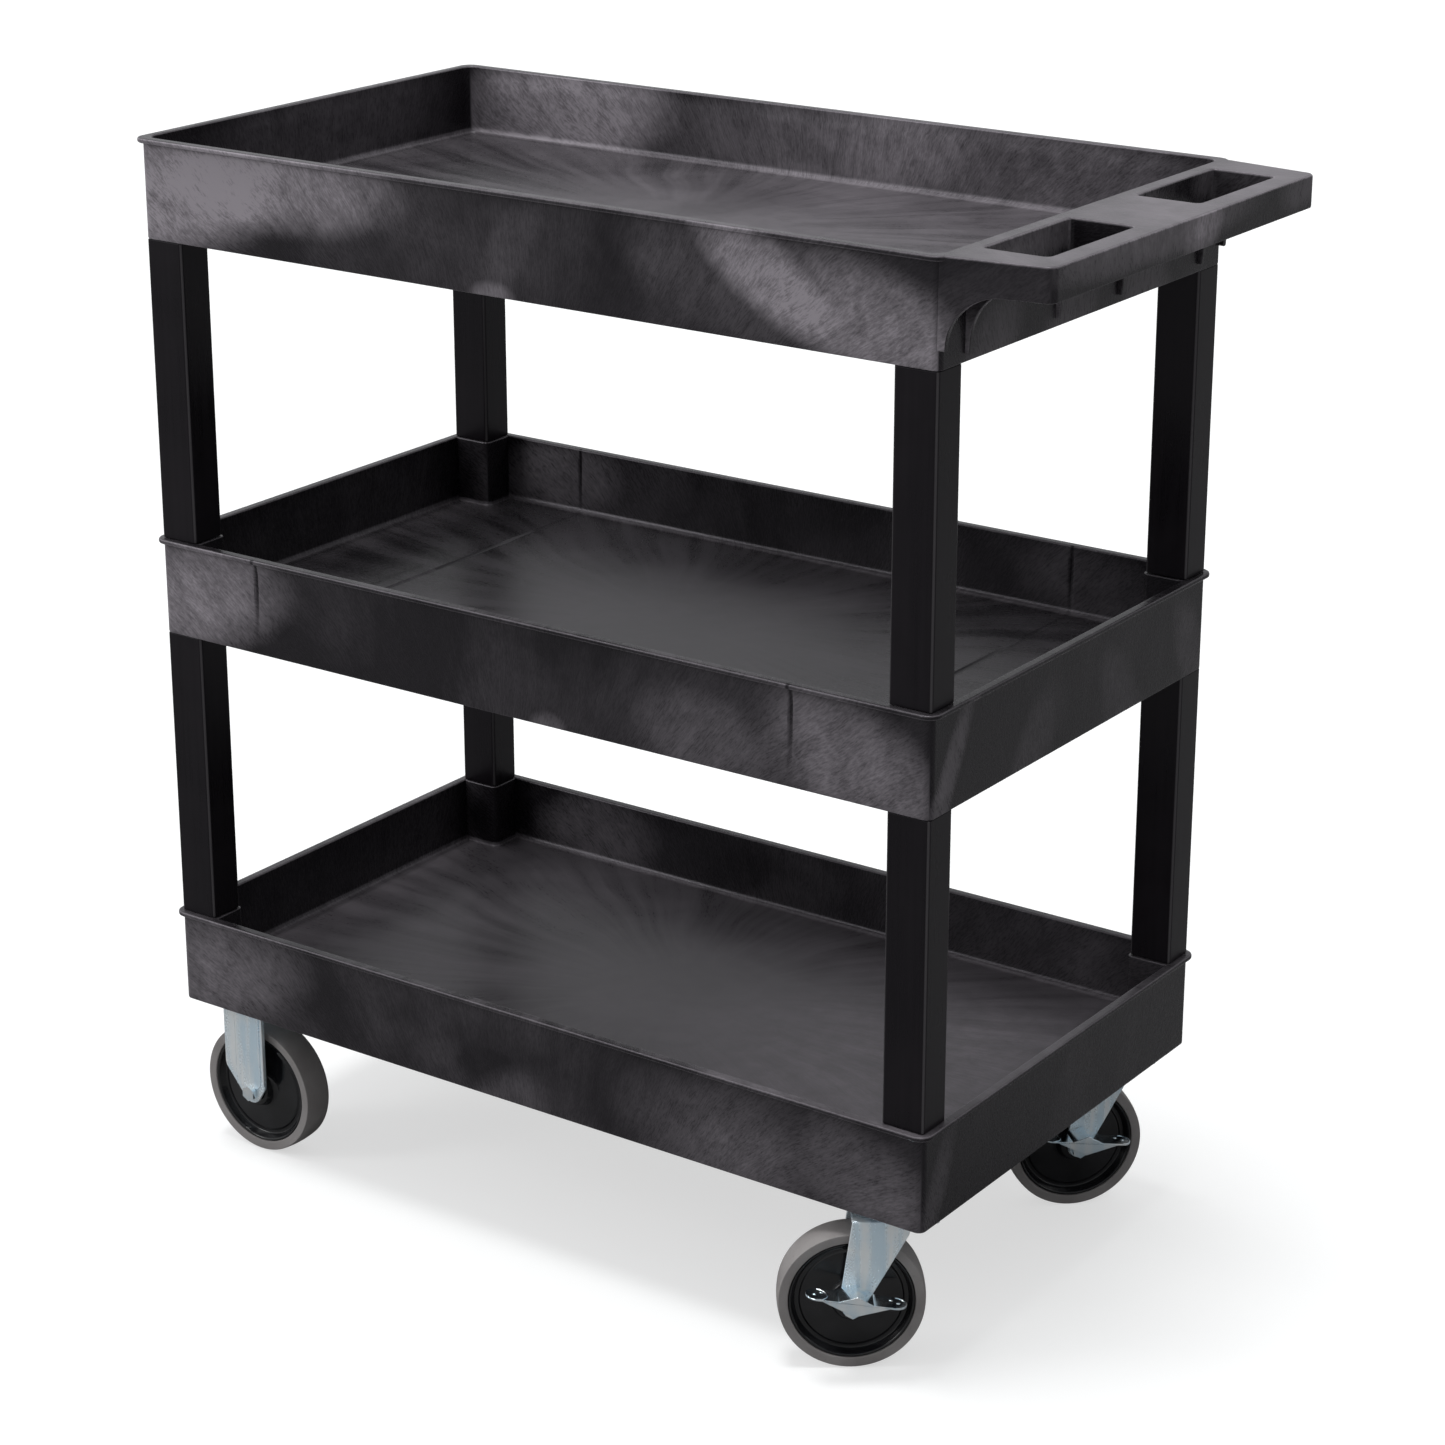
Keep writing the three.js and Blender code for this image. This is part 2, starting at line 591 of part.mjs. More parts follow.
function addCasters() {
  for (const caster of CASTERS) {
    const fixed = new THREE.Group();
    fixed.position.set(caster.x, caster.y, 0);
    cart.add(fixed);
    const turning = new THREE.Group();
    turning.rotation.z = THREE.MathUtils.degToRad(caster.turn);
    fixed.add(turning);
    if (caster.swivels) addSwivelCaster(fixed, turning, caster.name);
    else addRigidCaster(turning, caster.name);
    screwPlaces(caster).forEach((screw, i) => {
      addPart(cart, `caster_screw_${caster.name}_${i + 1}`, mountingScrew(), zincSteel,
        [screw.x, screw.y, 0]);
    });
  }
}

addTubs();
addLegs();
addCasters();

// The origin is the middle of the cart's box, on the ground.
const box = new THREE.Box3().setFromObject(cart, true);
const middle = box.getCenter(new THREE.Vector3());
cart.position.set(-middle.x, -middle.y, -box.min.z);

export default cart;
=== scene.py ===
# Rolling utility cart: detailed pieces, materials, light and camera, built round
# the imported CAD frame. Lengths are written in millimetres and turned into metres
# by MM. The long side lies along X, the handle is at +X, and the near side is -Y.
from math import atan2, cos, pi, radians, sin

import bmesh
import bpy
from mathutils import Matrix, Vector


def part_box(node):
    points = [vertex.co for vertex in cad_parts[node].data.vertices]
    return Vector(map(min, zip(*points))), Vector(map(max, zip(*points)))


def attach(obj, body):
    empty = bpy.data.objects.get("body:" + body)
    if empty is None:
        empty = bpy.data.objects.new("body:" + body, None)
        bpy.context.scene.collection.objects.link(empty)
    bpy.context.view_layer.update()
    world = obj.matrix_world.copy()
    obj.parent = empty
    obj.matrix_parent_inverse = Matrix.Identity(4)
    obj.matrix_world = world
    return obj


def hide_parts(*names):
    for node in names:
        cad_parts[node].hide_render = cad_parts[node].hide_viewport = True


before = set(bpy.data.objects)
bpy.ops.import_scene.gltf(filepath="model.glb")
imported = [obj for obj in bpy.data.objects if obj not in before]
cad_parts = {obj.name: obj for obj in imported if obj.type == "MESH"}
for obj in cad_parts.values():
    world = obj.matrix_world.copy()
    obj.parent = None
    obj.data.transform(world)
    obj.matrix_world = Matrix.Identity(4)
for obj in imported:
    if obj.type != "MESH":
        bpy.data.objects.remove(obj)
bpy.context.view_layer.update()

MM = 0.001

# ---- driving dimensions, in millimetres -------------------------------------
TUB_DEPTH = 89
TRAY_DEPTH = 64
WALL = 5
FLOOR = 4
RIM_OVERHANG = 5
LEG_X = 40
LEG_Y = 35
POST_X = 43
POST_Y = 38
HANDLE_DEPTH = 28
HANDLE_NARROWING = 11
HANDLE_SKIN = 5
GRIP_WIDTH = 22
HAND_HOLE_X = 57
HAND_HOLE_INNER_Y = 52
HAND_HOLE_OUTER_Y = 183
GUSSET_RADIUS = 45
WHEEL_RADIUS = 62.5
TYRE_WIDTH = 30
HUB_RADIUS = 53
HUB_LENGTH = 38
HUB_RECESS = 1.2
FORK_INSIDE = 21
SHEET = 3
AXLE_HOLE_RADIUS = 5.2
FORK_PLATE_Z = 156 - WHEEL_RADIUS  # above the axle
CROWN_Z = 138 - WHEEL_RADIUS  # above the axle
PANEL_RISE = 0.9
SWIVEL_TRAIL = 42
PEDAL_TILT = 8
RIM_TOP = -0.06  # the rim's flat top lies a hair under the handle's
UNDERSIDE = -TRAY_DEPTH - FLOOR  # below the rim
GROOVES = {"front": (-293, 274), "rear": (-274, 274)}
GROOVE_HALF_WIDTH = 2.8
GROOVE_DEPTH = 1.9


def middle(node):
    low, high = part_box(node)
    return (Vector(low) + Vector(high)) / 2


# ---- places read from the frame ---------------------------------------------
tub_low, tub_high = (Vector(corner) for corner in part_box("middle_tub"))
CENTRE_X = (tub_low.x + tub_high.x) / 2 / MM
CENTRE_Y = (tub_low.y + tub_high.y) / 2 / MM
HALF_LENGTH = (tub_high.x - tub_low.x) / 2 / MM - RIM_OVERHANG
HALF_WIDTH = (tub_high.y - tub_low.y) / 2 / MM - RIM_OVERHANG
HANDLE_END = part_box("top_tub")[1][0] / MM - CENTRE_X
RIM_Z = {name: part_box(f"{name}_tub")[1][2] / MM for name in ("top", "middle", "bottom")}
SIDES = {"front": -1, "rear": 1}
ENDS = {"left": -1, "right": 1}
CORNERS = [
    (f"{side}_{end}", ENDS[end], SIDES[side]) for side in SIDES for end in ENDS
]


# ---- camera -----------------------------------------------------------------
def place_camera():
    """The pinhole camera that was fitted to the photograph."""
    camera = bpy.data.objects.new("camera", bpy.data.cameras.new("camera"))
    bpy.context.collection.objects.link(camera)
    azimuth = radians(35.124)
    elevation = radians(19.095)
    back = Vector((
        sin(azimuth) * cos(elevation), -cos(azimuth) * cos(elevation), sin(elevation),
    ))
    camera.location = (1.7191, -2.4154, 1.5354)
    camera.rotation_euler = back.to_track_quat("Z", "Y").to_euler()
    camera.data.lens = 88.92
    camera.data.sensor_width = 36
    camera.data.shift_y = -0.0415
    bpy.context.scene.camera = camera


place_camera()


# ---- a small helper for node trees ------------------------------------------
class Nodes:
    """Adds shader nodes to one tree. The methods with plain names return what the
    node puts out; add() returns the node itself."""

    def __init__(self, tree):
        self.tree = tree
        tree.nodes.clear()

    def add(self, kind, inputs=None, **settings):
        node = self.tree.nodes.new(kind)
        for key, value in settings.items():
            setattr(node, key, value)
        for key, value in (inputs or {}).items():
            if isinstance(value, bpy.types.NodeSocket):
                self.tree.links.new(value, node.inputs[key])
            else:
                node.inputs[key].default_value = value
        return node

    def math(self, operation, a, b=0.0, c=0.0, clamp=False):
        node = self.add("ShaderNodeMath", {0: a, 1: b, 2: c}, operation=operation)
        node.use_clamp = clamp
        return node.outputs[0]

    def vector(self, operation, a, b=(0, 0, 0)):
        return self.add("ShaderNodeVectorMath", {0: a, 1: b}, operation=operation).outputs[0]

    def scale(self, vector, x, y, z):
        return self.vector("MULTIPLY", vector, (x, y, z))

    def combine(self, x, y, z):
        return self.add("ShaderNodeCombineXYZ", {0: x, 1: y, 2: z}).outputs[0]

    def separate(self, vector):
        return self.add("ShaderNodeSeparateXYZ", {0: vector}).outputs

    def noise(self, vector, scale, detail=3.0, roughness=0.5, distortion=0.0):
        node = self.add("ShaderNodeTexNoise", {
            "Vector": vector, "Scale": scale, "Detail": detail,
            "Roughness": roughness, "Distortion": distortion,
        })
        return node.outputs["Fac"]

    def remap(self, value, low, high, to_low=0.0, to_high=1.0):
        """The value moved smoothly from one range to another, and held at its ends."""
        node = self.add("ShaderNodeMapRange", {
            "Value": value, "From Min": low, "From Max": high,
            "To Min": to_low, "To Max": to_high,
        })
        node.interpolation_type = "SMOOTHSTEP"
        return node.outputs["Result"]

    def mix(self, factor, a, b):
        inputs = {0: factor, 6: a, 7: b}  # the colour sockets of this node are 6 and 7
        return self.add("ShaderNodeMix", inputs, data_type="RGBA").outputs[2]

    def bump(self, height, distance, strength):
        inputs = {"Height": height, "Distance": distance, "Strength": strength}
        return self.add("ShaderNodeBump", inputs).outputs["Normal"]

    def surface(self, **inputs):
        shader = self.add("ShaderNodeBsdfPrincipled", {
            key.replace("_", " "): value for key, value in inputs.items()
        })
        self.add("ShaderNodeOutputMaterial", {"Surface": shader.outputs[0]})


def new_material(name):
    material = bpy.data.materials.new(name)
    material.use_nodes = True
    return material, Nodes(material.node_tree)


def object_point(nodes):
    return nodes.add("ShaderNodeTexCoord").outputs["Object"]


# ---- materials --------------------------------------------------------------
PLASTIC_DARK = (0.0044, 0.0036, 0.0050, 1)
PLASTIC_LIGHT = (0.342, 0.314, 0.344, 1)
PLASTIC_SHINE = (0.96, 0.92, 1.0, 1)


def spot(nodes, x, z, centre_x, centre_z, radius_x, radius_z, lean):
    """1 at a place on a wall, falling smoothly to 0 at a leaning ellipse round it."""
    dz = nodes.math("SUBTRACT", z, centre_z)
    dx = nodes.math("SUBTRACT", x, centre_x)
    dx = nodes.math("SUBTRACT", dx, nodes.math("MULTIPLY", dz, lean))
    dx = nodes.math("DIVIDE", dx, radius_x)
    dz = nodes.math("DIVIDE", dz, radius_z)
    squared = nodes.math("ADD", nodes.math("MULTIPLY", dx, dx), nodes.math("MULTIPLY", dz, dz))
    return nodes.remap(squared, 0.0, 1.0, 1.0, 0.0)


def groove_shading(nodes, x, y, z):
    """Painted shade: 1 in the bottoms of the middle tub's grooves, fading down the walls."""
    rear = nodes.math("GREATER_THAN", y, 0.0)
    down = nodes.remap(z, -0.01, 0.04, 0.25, 1.0)
    on_floor = nodes.math("LESS_THAN", z, 0.002)
    across = nodes.remap(nodes.math("ABSOLUTE", y), 0.05, 0.16, 1.0, 0.1)
    reach = nodes.math("MAXIMUM", down, nodes.math("MULTIPLY", on_floor, across))
    width = nodes.math("MULTIPLY_ADD", on_floor, 4 * MM, GROOVE_HALF_WIDTH * MM)
    shading = 0.0
    for side, positions in GROOVES.items():
        here = rear if side == "rear" else nodes.math("SUBTRACT", 1.0, rear)
        for position in positions:
            offset = nodes.math("ABSOLUTE", nodes.math("SUBTRACT", x, position * MM))
            line = nodes.remap(offset, 0.6 * MM, width, 1.0, 0.0)
            shading = nodes.math("ADD", shading, nodes.math("MULTIPLY", line, here))
    return nodes.math("MULTIPLY", shading, reach)


def tub_plastic(name, rim_z, seed, floor_tone, rim_tone, wall_tone, spots, grooved=False):
    """Moulded structural foam: flow marks run out from the middle of the floor
    and up the walls, over cloudy lighter and darker patches. The three tones are those
    of the floor, of level faces at the rim, and of the long walls; the end walls are
    darker, with painted shade. The floor and each wall have their spots: (place along,
    height above the tray floor, radius along, radius up, lean, strength); on the floor
    the height is the place across it. The wall spots are partly flow marks and partly
    painted sheen, and the floor spots are painted pools of light. Rounded edges carry a
    painted highlight, and the middle tub's grooves carry painted shade."""
    material, nodes = new_material(name)
    coordinates = nodes.add("ShaderNodeTexCoord").outputs
    local = nodes.vector("SUBTRACT", coordinates["Object"],
                         (CENTRE_X * MM, CENTRE_Y * MM, (rim_z - TRAY_DEPTH) * MM))
    x, y, z = nodes.separate(local)
    normal = nodes.separate(coordinates["Normal"])
    facing = [nodes.remap(nodes.math("ABSOLUTE", axis), 0.6, 0.8) for axis in normal]

    # The walls are unfolded outwards, so that one polar pattern covers them all.
    seeded = nodes.vector("ADD", local, (seed, seed * 0.7, 0))
    flow = []
    for across, face, shift in ((x, facing[0], (0, 0, 0)), (y, facing[1], (3.1, 7.7, 1.3))):
        rise = nodes.math("MULTIPLY", nodes.math("SIGN", across), nodes.math("MULTIPLY", z, face))
        flat = nodes.math("ADD", across, rise)
        warp = nodes.noise(nodes.vector("ADD", seeded, shift), 6.0, 2.0)
        flow.append(nodes.math("MULTIPLY_ADD", nodes.math("SUBTRACT", warp, 0.5), 0.04, flat))
    flow = nodes.combine(*flow, 0.0)
    radius = nodes.add("ShaderNodeVectorMath", {0: flow}, operation="LENGTH").outputs["Value"]
    cos_a, sin_a, _ = nodes.separate(nodes.vector("NORMALIZE", flow))

    # The streaks fade out toward the middle, so that they do not meet in a star.
    spread = nodes.remap(radius, 0.04, 0.24)

    def streaks(across, along, detail, roughness=0.6):
        point = nodes.combine(
            nodes.math("MULTIPLY", cos_a, across), nodes.math("MULTIPLY", sin_a, across),
            nodes.math("MULTIPLY_ADD", radius, along, seed),
        )
        marks = nodes.math("SUBTRACT", nodes.noise(point, 1.0, detail, roughness), 0.5)
        return nodes.math("MULTIPLY_ADD", marks, spread, 0.5)

    fibres = streaks(260.0, 150.0, 3.0, 0.7)
    strands = streaks(70.0, 14.0, 3.0)
    rays = streaks(14.0, 3.0, 3.0)
    cloud = nodes.noise(nodes.vector("ADD", seeded, (0.4, 0.1, 0.0)), 7.5, 3.0, 0.5, 0.6)
    mottle = nodes.noise(nodes.vector("ADD", seeded, (5.4, 2.1, 0.0)), 48.0, 4.0, 0.6, 0.4)

    # The end walls keep only three tenths of the wall tone: painted shade on both end walls.
    upright = nodes.math("SUBTRACT", nodes.math("SUBTRACT", 1.0, facing[2]),
                         nodes.math("MULTIPLY", facing[0], 0.7))
    level = nodes.remap(z, 0.01, 0.03, floor_tone, rim_tone)
    tone = nodes.math("ADD", nodes.math("MULTIPLY", facing[2], level),
                      nodes.math("MULTIPLY", upright, wall_tone))
    off_ends = nodes.math("MULTIPLY_ADD", facing[0], -0.6, 1.0)
    clouding = nodes.math("MULTIPLY", nodes.remap(cloud, 0.32, 0.7, -0.04, 0.06), off_ends)
    tone = nodes.math("ADD", tone, clouding)
    raying = nodes.math("MULTIPLY", nodes.remap(rays, 0.3, 0.7, -0.05, 0.06),
                        nodes.math("ADD", facing[2], 0.2))
    tone = nodes.math("ADD", tone, raying)
    # Spots add lighter patches: on the walls partly flow marks and partly painted sheen, on the
    # floor painted pools of light.
    for wall, wall_spots in spots.items():
        up = z
        if wall == "floor":
            along, up, here = x, y, facing[2]
        else:
            along, across, face = (x, y, facing[1]) if wall in SIDES else (y, x, facing[0])
            beyond = nodes.math("MULTIPLY", across, SIDES.get(wall) or ENDS[wall])
            here = nodes.math("MULTIPLY", face, nodes.math("GREATER_THAN", beyond, 0.0))
        for place, height, reach, rise, lean, strength in wall_spots:
            glow = spot(nodes, along, up, place, height, reach, rise, lean)
            glow = nodes.math("MULTIPLY", glow, nodes.remap(mottle, 0.3, 0.62, 0.84, 1.0))
            glow = nodes.math("MULTIPLY", glow, strength)
            tone = nodes.math("ADD", tone, nodes.math("MULTIPLY", glow, here))
    tone = nodes.math("MAXIMUM", tone, 0.02)

    # Rounded edges and the foot of the walls get a painted highlight and a smoother finish.
    lift = nodes.math("ABSOLUTE", normal[2])
    edge = nodes.math("MULTIPLY", nodes.remap(lift, 0.2, 0.45),
                      nodes.remap(lift, 0.8, 0.97, 1.0, 0.0))
    tone = nodes.math("MULTIPLY_ADD", edge, 0.22, tone)
    # Painted shade darkens the tone in the middle tub's grooves.
    if grooved:
        shade_factor = nodes.math("MULTIPLY_ADD", groove_shading(nodes, x, y, z), -0.9, 1.0)
        tone = nodes.math("MULTIPLY", tone, shade_factor)
    grain = nodes.math("ADD", nodes.remap(fibres, 0.3, 0.7, -0.3, 0.3),
                       nodes.remap(strands, 0.3, 0.7, -0.13, 0.13))
    grain = nodes.math("ADD", grain, nodes.remap(mottle, 0.3, 0.7, -0.12, 0.12))
    grain = nodes.math("MULTIPLY", grain, nodes.math("MULTIPLY_ADD", facing[2], -0.55, 1.0))
    tone = nodes.math("MULTIPLY", tone, nodes.math("ADD", 1.0, grain), clamp=True)
    colour = nodes.mix(tone, PLASTIC_DARK, PLASTIC_LIGHT)
    roughness = nodes.math("ADD", nodes.remap(tone, 0.0, 0.6, 0.27, 0.46),
                           nodes.remap(fibres, 0.3, 0.7, -0.05, 0.05))
    roughness = nodes.math("MULTIPLY_ADD", edge, -0.14, roughness)

    pores = nodes.noise(coordinates["Object"], 1100.0, 2.0, 0.6)
    height = nodes.math("ADD", nodes.math("MULTIPLY", fibres, 0.7),
                        nodes.math("MULTIPLY", pores, 0.3))
    nodes.surface(Base_Color=colour, Roughness=roughness, Specular_IOR_Level=0.27,
                  Specular_Tint=PLASTIC_SHINE, Normal=nodes.bump(height, 0.0003, 0.7))
    return material


def leg_plastic():
    """Near-black extrusion with faint draw marks and a painted highlight on its rounded corners."""
    material, nodes = new_material("leg_plastic")
    point = object_point(nodes)
    drawn = nodes.noise(nodes.scale(point, 160, 160, 5), 1.0, 3.0, 0.6)
    cloud = nodes.noise(point, 9.0, 3.0, 0.5, 0.6)
    grain = nodes.noise(point, 1400.0, 2.0)
    tone = nodes.math("ADD", nodes.math("MULTIPLY", drawn, 0.4), nodes.math("MULTIPLY", cloud, 0.6))
    colour = nodes.mix(nodes.remap(tone, 0.3, 0.7), (0.0042, 0.0034, 0.0046, 1),
                       (0.0092, 0.0074, 0.0094, 1))
    # The rounded upright corners get a painted highlight: a paler colour where the normal leans
    # between X and Y.
    normal = nodes.separate(nodes.add("ShaderNodeTexCoord").outputs["Normal"])
    corner_x, corner_y = (
        nodes.remap(nodes.math("ABSOLUTE", axis), 0.3, 0.6) for axis in normal[:2]
    )
    corner = nodes.math("MULTIPLY", corner_x, corner_y)
    colour = nodes.mix(corner, colour, (0.07, 0.066, 0.07, 1))
    height = nodes.math("ADD", nodes.math("MULTIPLY", drawn, 0.6),
                        nodes.math("MULTIPLY", grain, 0.4))
    roughness = nodes.math("MULTIPLY_ADD", corner, -0.1, nodes.remap(tone, 0.3, 0.7, 0.24, 0.36))
    nodes.surface(Base_Color=colour, Roughness=roughness, Specular_IOR_Level=0.2,
                  Specular_Tint=PLASTIC_SHINE, Normal=nodes.bump(height, 0.0001, 0.5))
    return material


def zinc_plate(name, metallic, polish=0.0):
    """Zinc with a blue passivate: faint upright bands and cool clouding. Some of it is
    dulled, with metallic below 1, and some is polished, which lowers its roughness."""
    material, nodes = new_material(name)
    point = object_point(nodes)
    bands = nodes.noise(nodes.scale(point, 110, 110, 9), 1.0, 2.0, 0.5)
    cloud = nodes.noise(point, 32.0, 3.0, 0.5, 0.8)
    speck = nodes.noise(point, 700.0, 2.0, 0.6)
    mixed = nodes.math("MULTIPLY_ADD", bands, 0.6, nodes.math("MULTIPLY", cloud, 0.4))
    tint = nodes.mix(nodes.remap(mixed, 0.36, 0.64), (0.70, 0.86, 0.97, 1), (0.95, 0.99, 1.0, 1))
    colour = nodes.mix(nodes.remap(speck, 0.55, 0.75, 0.0, 0.1), tint, (0.62, 0.65, 0.64, 1))
    roughness = nodes.math("ADD", nodes.remap(bands, 0.3, 0.7, 0.2 - polish, 0.27 - polish),
                           nodes.math("MULTIPLY", speck, 0.08))
    nodes.surface(Base_Color=colour, Metallic=metallic, Roughness=roughness,
                  Normal=nodes.bump(speck, 0.000004, 0.4))
    return material


def bearing_steel():
    """Turned steel under a film of grease."""
    material, nodes = new_material("bearing_steel")
    point = object_point(nodes)
    turning = nodes.noise(nodes.scale(point, 40, 900, 40), 1.0, 3.0, 0.6)
    film = nodes.noise(point, 60.0, 3.0, 0.5, 0.8)
    colour = nodes.mix(nodes.remap(film, 0.3, 0.7), (0.16, 0.17, 0.18, 1), (0.34, 0.35, 0.36, 1))
    nodes.surface(Base_Color=colour, Metallic=1.0,
                  Roughness=nodes.remap(turning, 0.3, 0.7, 0.25, 0.45),
                  Normal=nodes.bump(turning, 0.00005, 0.6))
    return material


def hub_plastic():
    """Glossy black plastic with a little dust."""
    material, nodes = new_material("hub_plastic")
    point = object_point(nodes)
    dust = nodes.noise(point, 420.0, 3.0, 0.65)
    sheen = nodes.noise(point, 38.0, 3.0, 0.5, 0.7)
    colour = nodes.mix(nodes.remap(sheen, 0.3, 0.7), (0.0045, 0.0045, 0.0055, 1),
                       (0.012, 0.012, 0.014, 1))
    roughness = nodes.math("ADD", nodes.remap(sheen, 0.3, 0.7, 0.12, 0.2),
                           nodes.remap(dust, 0.5, 0.8, 0.0, 0.12))
    nodes.surface(Base_Color=colour, Roughness=roughness, Specular_IOR_Level=0.5,
                  Normal=nodes.bump(dust, 0.00008, 0.35))
    return material


def tyre_rubber():
    """Matt warm grey rubber."""
    material, nodes = new_material("tyre_rubber")
    point = object_point(nodes)
    cloud = nodes.noise(point, 30.0, 4.0, 0.55, 0.5)
    grain = nodes.noise(point, 1100.0, 3.0, 0.6)
    speck = nodes.noise(point, 260.0, 2.0, 0.6)
    base = nodes.mix(nodes.remap(cloud, 0.3, 0.7), (0.29, 0.272, 0.268, 1), (0.34, 0.322, 0.318, 1))
    colour = nodes.mix(nodes.remap(speck, 0.6, 0.8, 0.0, 0.4), base, (0.2, 0.19, 0.185, 1))
    nodes.surface(Base_Color=colour, Roughness=nodes.remap(cloud, 0.3, 0.7, 0.5, 0.68),
                  Specular_IOR_Level=0.25, Normal=nodes.bump(grain, 0.00015, 0.5))
    return material


# Each tub's wall spots are partly flow marks and partly painted sheen; its floor spots are painted
# light, and the bottom tub's floor spot makes up for the shade of the tubs above.
TUB_MATERIALS = {
    "top": tub_plastic("tub_plastic_top", RIM_Z["top"], 0.0, 0.13, 0.08, 0.06, {
        "floor": [(0.32, 0.0, 0.6, 0.5, 0.0, 0.13), (0.46, 0.0, 0.07, 0.45, 0.0, 0.2)],
        "front": [
            (-0.38, 0.02, 0.15, 0.07, 0.6, 0.82), (-0.24, 0.04, 0.15, 0.05, 0.4, 0.6),
            (-0.02, -0.026, 0.028, 0.017, 0.0, 0.4), (0.0, 0.02, 0.03, 0.05, 0.5, 0.08),
            (0.245, 0.03, 0.055, 0.06, -1.0, 0.68), (0.19, 0.02, 0.09, 0.06, -1.0, 0.1),
            (0.35, 0.0, 0.1, 0.07, -0.8, 0.56),
        ],
        "rear": [(-0.3, 0.03, 0.16, 0.06, 0.8, 0.85), (0.0, 0.03, 0.2, 0.06, 0.3, 0.28),
                 (0.2, 0.035, 0.24, 0.06, -0.7, 0.28)],
        "right": [(-0.15, -0.03, 0.05, 0.06, 0.5, 0.2), (-0.03, -0.03, 0.05, 0.06, 0.4, 0.18),
                  (0.1, -0.03, 0.05, 0.06, -0.4, 0.18), (-0.06, 0.06, 0.2, 0.026, 0.0, 0.34),
                  (0.02, 0.05, 0.035, 0.03, 0.4, 0.42), (0.19, 0.06, 0.05, 0.026, 0.4, 0.2)],
        "left": [(0.0, 0.03, 0.22, 0.06, 0.2, 0.16)],
    }),
    "middle": tub_plastic("tub_plastic_middle", RIM_Z["middle"], 4.3, 0.11, 0.05, 0.035, {
        "floor": [(0.0, 0.0, 0.32, 0.35, 0.0, 0.1)],
        "front": [
            (-0.37, 0.02, 0.13, 0.07, 0.5, 0.6), (0.03, -0.026, 0.024, 0.017, 0.0, 0.26),
            (0.2, -0.01, 0.09, 0.06, -0.5, 0.2), (0.34, 0.0, 0.1, 0.08, -0.6, 0.44),
        ],
        "rear": [(-0.3, 0.03, 0.09, 0.05, 0.4, 0.28), (0.3, 0.03, 0.09, 0.05, -0.4, 0.14)],
        "right": [(-0.2, 0.0, 0.02, 0.08, 0.5, 0.3), (-0.07, -0.02, 0.04, 0.07, 0.4, 0.12),
                  (0.08, -0.02, 0.04, 0.07, -0.4, 0.1), (0.2, 0.0, 0.03, 0.07, -0.4, 0.12)],
        "left": [(0.0, 0.03, 0.22, 0.06, 0.2, 0.08)],
    }, grooved=True),
    "bottom": tub_plastic("tub_plastic_bottom", RIM_Z["bottom"], 9.1, 0.23, 0.06, 0.055, {
        "floor": [(0.3, -0.05, 0.3, 0.3, 0.0, 0.3)],
        "front": [
            (-0.37, 0.02, 0.14, 0.07, 0.5, 0.32), (-0.02, -0.03, 0.05, 0.05, 0.4, 0.16),
            (0.2, 0.0, 0.12, 0.07, -0.5, 0.18), (0.36, 0.0, 0.08, 0.07, -0.6, 0.2),
        ],
        "rear": [(-0.26, 0.03, 0.09, 0.05, 0.4, 0.2), (0.28, 0.03, 0.1, 0.05, -0.4, 0.1)],
        "right": [(-0.2, 0.01, 0.02, 0.07, 0.4, 0.12), (0.02, 0.0, 0.05, 0.07, 0.2, 0.05)],
        "left": [(0.0, 0.03, 0.22, 0.06, 0.2, 0.05)],
    }),
}
LEG_MATERIAL = leg_plastic()
ZINC = zinc_plate("zinc_plate", 0.5)
BRIGHT_ZINC = zinc_plate("bright_zinc", 1.0, 0.1)
BEARING_STEEL = bearing_steel()
HUB_MATERIAL = hub_plastic()
TYRE_MATERIAL = tyre_rubber()


# ---- outlines ---------------------------------------------------------------
def arc(x, y, radius, start, end, steps):
    """Points on an arc; angles in degrees."""
    points = []
    for step in range(steps + 1):
        angle = radians(start + (end - start) * step / steps)
        points.append((x + radius * cos(angle), y + radius * sin(angle)))
    return points


def rounded_rect(size_x, size_y, radius, x=0.0, y=0.0, steps=6):
    """A rectangle round (x, y) with rounded corners."""
    dx = size_x / 2 - radius
    dy = size_y / 2 - radius
    return (arc(x + dx, y - dy, radius, -90, 0, steps)
            + arc(x + dx, y + dy, radius, 0, 90, steps)
            + arc(x - dx, y + dy, radius, 90, 180, steps)
            + arc(x - dx, y - dy, radius, 180, 270, steps))


def circle(x, y, radius, steps=24):
    return arc(x, y, radius, 0, 360, steps)[:-1]


def round_corners(corners, steps=5):
    """A polygon from (x, y, corner radius) triples, in order round it."""
    points = []
    for index, (x, y, radius) in enumerate(corners):
        here = Vector((x, y))
        before = Vector(corners[index - 1][:2]) - here
        after = Vector(corners[(index + 1) % len(corners)][:2]) - here
        if radius == 0:
            points.append((x, y))
            continue
        half = before.angle(after) / 2
        reach = radius / abs(sin(half)) * cos(half)
        start = here + before.normalized() * reach
        end = here + after.normalized() * reach
        for step in range(steps + 1):
            t = step / steps
            points.append(tuple(start * (1 - t) ** 2 + here * 2 * t * (1 - t) + end * t ** 2))
    return points


def area_sign(points):
    """1 for points that run anticlockwise, -1 for clockwise ones."""
    total = sum(a[0] * b[1] - b[0] * a[1] for a, b in zip(points, points[1:] + points[:1]))
    return 1 if total > 0 else -1


